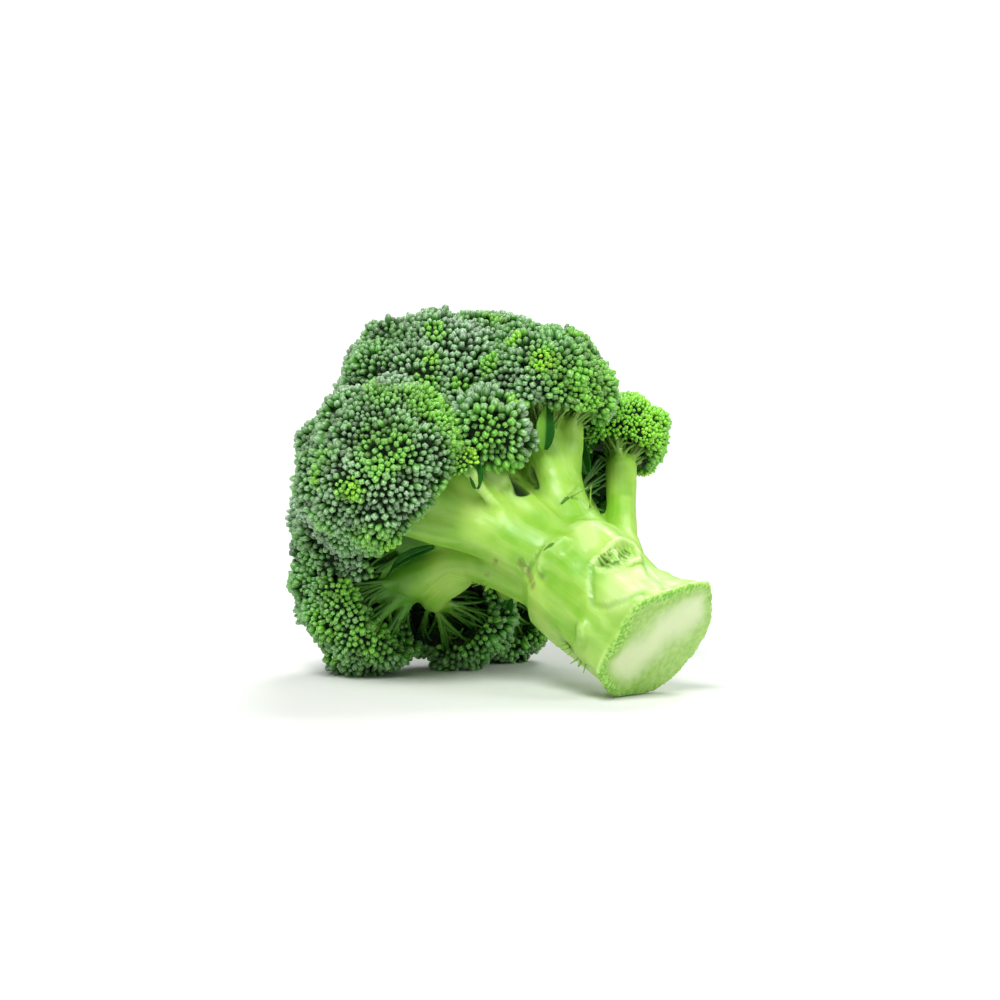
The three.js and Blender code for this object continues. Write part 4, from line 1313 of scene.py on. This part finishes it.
def arm_stems():
    """The arms of every fork."""
    stems = []
    for crown in CROWNS:
        girth = arm_girth(crown)
        stems += [Stem(path, girth, 1) for path in arm_paths(crown) + crown.middle]
    return stems


CROWNS = [Crown(name) for name in FLORETS]
STEMS = main_stems()
ARMS = arm_stems()


def stalk_measure(where):
    """How far each point is outside the stalk, the way out, and its grain."""
    gap, way, grain = trunk_measure(where)
    for stem, width in [(stem, FILLET) for stem in STEMS] + [(arm, ARM_FILLET) for arm in ARMS]:
        near = stem.near(where)
        if near.any():
            here = (gap[near], way[near], grain[near])
            gap[near], way[near], grain[near] = joined(here, stem.measure(where[near]), width)
    for scar in LEAF_SCARS:
        gap, way, grain = joined((gap, way, grain), scar_measure(scar, where), SCAR_FILLET)
    gap = gap - SKIN_UNEVEN * ripple(where, 14, 71) - SKIN_FINE * ripple(where * [1, 1, 0.5], 4, 73)
    for mark in MARKS:
        share = 1 - smooth(*MARK_EDGE, along_line(where, way, mark["line"]) / mark["wide"])
        gap = gap - mark["high"] * share
        if mark["paint"] == "torn":
            gap = gap - TORN_FIBRES * share * ripple(where * [2.2, 2.2, 0.7], 3.2, 75)
    below = CUT_Z + CUT_UNEVEN * ripple(where * [1, 1, 0], 9, 72) - where[:, 2]
    cut = below > gap
    gap = np.where(cut, below, gap)
    way = np.where(cut[:, None], [0.0, 0.0, -1.0], way)
    return gap, way, grain


def stem_curve(stem):
    """A tapered curve along a stem, as an object that is selected."""
    curve = bpy.data.curves.new("stem", "CURVE")
    curve.dimensions = "3D"
    curve.bevel_depth = MM
    curve.bevel_resolution = 5
    curve.use_fill_caps = True
    spline = curve.splines.new("POLY")
    spline.points.add(len(stem.points) - 1)
    for point, co, radius in zip(spline.points, stem.points * MM, stem.radii):
        point.co = (*co, 1)
        point.radius = radius
    shown = bpy.data.objects.new("stem", curve)
    bpy.context.scene.collection.objects.link(shown)
    shown.select_set(True)
    bpy.context.view_layer.objects.active = shown


def rough_stalk():
    """Tapered curves along the trunk and branches, made one even skin."""
    bpy.ops.object.select_all(action="DESELECT")
    trunk = Stem([(0, 0, z) for z in TRUNK_HEIGHT], TRUNK_RADIUS, 2)
    for stem in [trunk] + STEMS + ARMS:
        stem_curve(stem)
    bpy.ops.object.convert(target="MESH")
    bpy.ops.object.join()
    made = bpy.context.object
    even_skin(made, ROUGH_VOXEL)
    return made


def even_skin(piece, voxel):
    """Gives a piece one closed skin of even squares."""
    even = piece.modifiers.new("even skin", "REMESH")
    even.mode = "VOXEL"
    even.voxel_size = voxel * MM
    bpy.ops.object.select_all(action="DESELECT")
    piece.select_set(True)
    bpy.context.view_layer.objects.active = piece
    bpy.ops.object.modifier_apply(modifier=even.name)


def points_of(piece):
    """A piece's points in mm."""
    points = np.empty(len(piece.data.vertices) * 3, np.float32)
    piece.data.vertices.foreach_get("co", points)
    return points.reshape(-1, 3).astype(float) / MM


def edges_of(piece):
    """The two points of each edge of a piece."""
    edges = np.empty(len(piece.data.edges) * 2, np.int32)
    piece.data.edges.foreach_get("vertices", edges)
    return edges.reshape(-1, 2)


def evened(points, edges):
    """Each point half way to the middle of its neighbours."""
    total = np.zeros_like(points)
    count = np.zeros(len(points))
    for a, b in ((0, 1), (1, 0)):
        np.add.at(total, edges[:, a], points[edges[:, b]])
        np.add.at(count, edges[:, a], 1)
    return 0.5 * points + 0.5 * total / count[:, None]


def fit_to_stalk(piece, rounds):
    """Draws the skin of a piece onto the shape of the stalk, and gives its points."""
    points = points_of(piece)
    edges = edges_of(piece)
    for _ in range(rounds):
        points = evened(points, edges)
        gap, way, _ = stalk_measure(points)
        points = points - np.clip(gap, -FIT_STEP, FIT_STEP)[:, None] * way
    piece.data.vertices.foreach_set("co", (points * MM).astype(np.float32).ravel())
    piece.data.update()
    return points


def mark_paints(points, way):
    """How much of each paint of the marks every point has."""
    paints = {paint: np.zeros(len(points)) for paint in ("pale", "deep", "torn", "gap_shade", "bruise")}
    for mark in MARKS:
        paint = mark["paint"]
        if paint:
            edge = GAP_SHADE_EDGE if paint == "gap_shade" else PAINT_EDGE
            share = 1 - smooth(*edge, along_line(points, way, mark["line"]) / mark["wide"])
            paints[paint] = np.maximum(paints[paint], share)
    return paints


def cut_paints(points):
    """Where the cut end is, with its band of pith and its rim."""
    out = np.hypot(points[:, 0], points[:, 1])
    turn = np.arctan2(points[:, 1], points[:, 0])
    edge = trunk_radius(turn, np.full(len(points), CUT_Z))
    inward = edge - out
    across_band = PITH_ACROSS[0] * points[:, 0] + PITH_ACROSS[1] * points[:, 1]
    band = np.abs(across_band + PITH_SHIFT + PITH_UNEVEN * ripple(points, 8, 90))
    return dict(
        cut=smooth(*CUT_FADE, points[:, 2] - CUT_Z) * (out < edge + 2),
        pith=smooth(*PITH_FADE, band) * smooth(*PITH_INWARD, inward),
        rim=smooth(*RIM_FADE, inward + RIM_UNEVEN * ripple(points, 4, 91)),
    )


def stalk_paints(points, edges, way):
    """Every paint of the stalk: ridges and marks, painted shade in creases and under crowns, and the cut."""
    middle = evened(evened(evened(points, edges), edges), edges)
    crease = ((middle - points) * way).sum(1)
    paints = mark_paints(points, way)
    # painted shade in the creases
    deep = smooth(*CREASE_FADE, crease) * CREASE_DARK
    # painted shade: the stalk darkens within the crowns, by each crown's `dim`
    for crown in CROWNS:
        share = np.linalg.norm(points - crown.middle, axis=1) / crown.radius
        deep = np.maximum(deep, crown.dim * smooth(*CROWN_FADE, share))
    low = smooth(*LOW_FADE, points[:, 2])
    pale = smooth(*RIDGE_FADE, -crease) * RIDGE_PALE + LINE_PALE * paints["pale"] + LOW_PALE * low
    paints["pale"] = np.clip(pale, 0, 1)
    paints["deep"] = np.clip(np.maximum(deep, LINE_DARK * paints["deep"]), 0, 1)
    return paints | cut_paints(points)


def stalk_piece():
    """The trunk, its branches and the arms of their forks, in one skin."""
    piece = rough_stalk()
    fit_to_stalk(piece, 4)
    even_skin(piece, SKIN_VOXEL)
    points = fit_to_stalk(piece, 3)
    _, way, grain = stalk_measure(points)
    for paint, values in stalk_paints(points, edges_of(piece), way).items():
        paint_on(piece.data, paint, values)
    attribute = piece.data.attributes.new("grain", "FLOAT_VECTOR", "POINT")
    attribute.data.foreach_set("vector", grain.astype(np.float32).ravel())
    laid = laid_down(points)
    laid[:, 2] = np.maximum(laid[:, 2], 0)
    piece.data.vertices.foreach_set("co", laid.astype(np.float32).ravel())
    piece.data.update()
    piece.data.shade_smooth()
    piece.data.materials.clear()
    piece.data.materials.append(STALK_SKIN)
    piece.name = "stalk_skin"
    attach(piece, "root")
    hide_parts("stalk")


stalk_piece()

# ---------------------------------------------------------------- shreds on the stalk

SHREDS = [  # loose fibres and torn bits of skin: foot, tip, radius of the foot
    ((19.4, 7, -45), (26.4, 6.9, -42), 0.42), ((20.1, 3, -38.7), (25, 7, -41), 0.45),
    ((-16.6, -13.4, -30.6), (-19.4, -16.2, -28.2), 0.3), ((-15.4, -14.4, -31), (-18.6, -17.6, -27.8), 0.3),
    ((-15.6, -12.6, -32), (-19.2, -13.2, -31.6), 1.3),
    ((-12.6, -16.6, -75), (-15.2, -18.4, -72.4), 0.45), ((-13, -16.4, -76), (-15, -18.2, -75), 1.0),
    ((-13, -16.4, -77.6), (-14.6, -18.8, -78.6), 0.7), ((-13.6, -16, -82), (-17.6, -17.2, -79.6), 0.6),
    ((-13.6, -16, -83), (-16.4, -17.6, -83.4), 1.1), ((-13.8, -15.8, -84.4), (-16.4, -18.4, -87), 0.5),
]
SHRED_RINGS = 5
SHRED_SIDES = 6
SHRED_TAPER = 0.25  # a tip's radius over its foot's
SHRED_BEND = 0.25
SCAR_TEETH = 9
SCAR_LINE = np.array([(16.8, -10.4, -69.6), (18.9, -4.6, -68), (18.4, 3.4, -66.8)])  # where the teeth stand
TOOTH_SUNK = 1.6
EYES = [  # dark green lens-shaped buds that lie in the skin: two ends, half width
    ((9.9, -19, -54), (13.9, -16.5, -55.4), 0.85),
    ((17.6, -0.1, -38.4), (19.8, 3.5, -37.8), 0.8),
]
EYE_LIGHT = 0.35


def scar_teeth(random):
    """The fibres that stand in the scar of the cut leaf: foot, tip and radius of each."""
    teeth = []
    for share in np.linspace(0, 2, SCAR_TEETH):
        k = min(int(share), 1)
        foot = SCAR_LINE[k] + (SCAR_LINE[k + 1] - SCAR_LINE[k]) * (share - k)
        out = unit(foot * [1, 1, 0])
        tip = foot - out * random.uniform(1.0, 2.0) + [0, 0, random.uniform(-6.0, -3.4)]
        teeth.append((foot - TOOTH_SUNK * out + [0, 0, 0.6], tip, random.uniform(0.5, 0.85)))
    return teeth


def add_eye(parts, a, b, wide):
    """A lens-shaped bud that lies in the skin from one end to the other."""
    a, b = np.array(a, float), np.array(b, float)
    lens = unit(b - a)
    first, second = across(lens)
    shape = np.stack([first * wide, second * wide, lens * np.linalg.norm(b - a) / 2 / BUD_LENGTH], -1)
    parts.add(BUD_POINTS @ shape.T + 0.5 * (a + b), BUD_CORNERS, BUD_SIZES, 1, light=EYE_LIGHT)


def shred_piece():
    """The loose fibres on the stalk, and those that stand in the scar of the cut leaf."""
    random = np.random.default_rng(77)
    rows = SHREDS + scar_teeth(random)
    feet, tips, radii = (np.array(values, float) for values in zip(*rows))
    middles = 0.5 * (feet + tips) + SHRED_BEND * random.normal(size=feet.shape)
    paths = bent(feet, middles, tips, SHRED_RINGS)
    thick = radii[:, None] * np.linspace(1, SHRED_TAPER, SHRED_RINGS)[None]
    points, corners, sizes = tubes(paths, thick, SHRED_SIDES)
    parts = Parts(("along", "light", "rib"))
    parts.add(points, corners, sizes, 0, along=0.0)
    for a, b, wide in EYES:
        add_eye(parts, a, b, wide)
    piece = parts.mesh("stalk_shreds", [TWIG_SKIN, LEAF_SKIN])
    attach(piece, "root")
    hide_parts("stalk")


shred_piece()

# ---------------------------------------------------------------- leaves

BLADE_FOOT = 0.35  # half width at the foot of a blade, as a share of its widest
BLADE_THINNEST = 0.25
BLADE_WAVE = 0.3
RIB_WIDTH = 0.3
RIB_SUNK = 0.35
RIB_PAINT = 0.6


def leaf_grid():
    """A flat grid of faces, two units each way."""
    bpy.ops.object.select_all(action="DESELECT")
    bpy.ops.mesh.primitive_grid_add(x_subdivisions=LEAF_GRID[0], y_subdivisions=LEAF_GRID[1], size=2)
    return bpy.context.object


def blade_shape(row, share, side_share, seed):
    """Where a blade's points go, by their shares of its length and half width, and how near its rib."""
    root = np.array(row["root"], float)
    tip = np.array(row["tip"], float)
    length = np.linalg.norm(tip - root)
    along = (tip - root) / length
    side = unit(np.cross(np.array(row["face"], float), along))
    up = np.cross(along, side)
    bulge = BLADE_FOOT + (1 - BLADE_FOOT) * np.sin(math.pi * share**0.8) ** 0.8
    outline = np.maximum(row["width"] / 2 * bulge * (1 - share**4), BLADE_THINNEST)
    wave = BLADE_WAVE * np.sin(7 * share + 2 * side_share + seed) * side_share**2
    sag = LEAF_BEND * length * np.sin(math.pi * share)
    cup = LEAF_FOLD * np.sqrt(side_share**2 + 0.02) * outline
    rib = np.exp(-((side_share * outline / RIB_WIDTH) ** 2)) * (1 - share)
    points = (root + share[:, None] * length * along + (side_share * outline)[:, None] * side
              + (sag + cup + wave - RIB_SUNK * rib)[:, None] * up)
    return points, rib


def thickened(piece):
    """Gives a blade its thickness, with faces that look outward."""
    thick = piece.modifiers.new("thickness", "SOLIDIFY")
    thick.thickness = LEAF_THICKNESS * MM
    thick.offset = 0
    bpy.ops.object.modifier_apply(modifier=thick.name)
    bpy.ops.object.mode_set(mode="EDIT")
    bpy.ops.mesh.select_all(action="SELECT")
    bpy.ops.mesh.normals_make_consistent(inside=False)
    bpy.ops.object.mode_set(mode="OBJECT")


def leaf_piece(name, seed):
    """A pointed blade with a rib, arched along its length and cupped across it."""
    row = LEAVES[name]
    piece = leaf_grid()
    grid = np.array([vertex.co for vertex in piece.data.vertices])
    side_share = grid[:, 1]
    points, rib = blade_shape(row, (grid[:, 0] + 1) / 2, side_share, seed)
    piece.data.vertices.foreach_set("co", laid_down(points).astype(np.float32).ravel())
    paint_on(piece.data, "rib", RIB_PAINT * rib)
    # painted light on one half of the blade
    paint_on(piece.data, "light", row.get("light", 0.0) * smooth(-0.3, 0.3, side_share))
    piece.data.update()
    thickened(piece)
    piece.data.shade_smooth()
    piece.data.materials.append(LEAF_SKIN)
    piece.name = name.replace("leaf", "blade")
    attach(piece, "root")
    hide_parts(name)


for number, name in enumerate(LEAVES):
    leaf_piece(name, number)

# ---------------------------------------------------------------- floor, light and camera

FLOOR_SIZE = 6.0
FLOOR_ROUGH = 0.9
SKY_GLOW = 0.39  # light from all around; the sky itself is shown white
SKY_SHOWN = 1.05
AIM = (HEART + [6.7, 6.7, -2.7]) * MM
CAMERA_AWAY = 1.2
CAMERA_TURN = math.radians(45.2)
CAMERA_RISE = math.radians(4.5)
CAMERA_LENS = 127.06
CAMERA_SENSOR = 36
CAMERA_SEES = 50


def floor():
    """The pale surface that the head lies on."""
    bpy.ops.object.select_all(action="DESELECT")
    bpy.ops.mesh.primitive_plane_add(size=FLOOR_SIZE, location=(0, 0, 0))
    made = bpy.context.object
    made.name = "floor"
    skin = bpy.data.materials.new("floor")
    skin.use_nodes = True
    shader = skin.node_tree.nodes["Principled BSDF"]
    shader.inputs["Base Color"].default_value = FLOOR_GREY
    shader.inputs["Roughness"].default_value = FLOOR_ROUGH
    made.data.materials.append(skin)


def direction(turn, rise):
    """The way from the head at a turn about +Z and a rise."""
    return np.array([
        math.sin(turn) * math.cos(rise),
        -math.cos(turn) * math.cos(rise),
        math.sin(rise),
    ])


def placed(name, data, back, where=(0, 0, 0)):
    """A camera or light that stands at a place and looks the other way from `back`."""
    made = bpy.data.objects.new(name, data)
    made.location = where
    made.rotation_euler = Vector(back).to_track_quat("Z", "Y").to_euler()
    bpy.context.scene.collection.objects.link(made)
    return made


def soft_light(name, turn, rise, away, size, power):
    """An area light that looks at the head from a turn round the camera's side and a rise."""
    back = direction(math.radians(turn) + CAMERA_TURN, math.radians(rise))
    light = bpy.data.lights.new(name, "AREA")
    light.shape = "DISK"
    light.size = size
    light.energy = power
    placed(name, light, back, Vector(AIM) + Vector(back) * away)


def sun(name, turn, rise, spread_angle, strength):
    """A broad even light from a turn round the camera's side and a rise."""
    light = bpy.data.lights.new(name, "SUN")
    light.angle = math.radians(spread_angle)
    light.energy = strength
    placed(name, light, direction(math.radians(turn) + CAMERA_TURN, math.radians(rise)))


def camera():
    """The camera, a little above the head's middle and on the side of its cut end."""
    back = direction(CAMERA_TURN, CAMERA_RISE)
    data = bpy.data.cameras.new("camera")
    data.lens = CAMERA_LENS
    data.sensor_width = CAMERA_SENSOR
    data.clip_end = CAMERA_SEES
    bpy.context.scene.camera = placed("camera", data, back, AIM + back * CAMERA_AWAY)


def surroundings():
    """An even glow from all around, shown white behind the head."""
    world = bpy.data.worlds.new("studio")
    world.use_nodes = True
    tree = world.node_tree
    glow = tree.nodes["Background"]
    glow.inputs["Color"].default_value = (1, 1, 1, 1)
    seen = node(tree, "LightPath").outputs["Is Camera Ray"]
    shown = sums(tree, "MULTIPLY", seen, SKY_SHOWN - SKY_GLOW)
    tree.links.new(sums(tree, "ADD", SKY_GLOW, shown), glow.inputs["Strength"])
    bpy.context.scene.world = world
    bpy.context.scene.view_settings.view_transform = "Standard"


floor()
sun("key", -20, 55, 25, 2.85)
sun("top", 160, 48, 30, 1.7)
soft_light("front glow", 62, 25, 1.0, 0.4, 2.8)
camera()
surroundings()
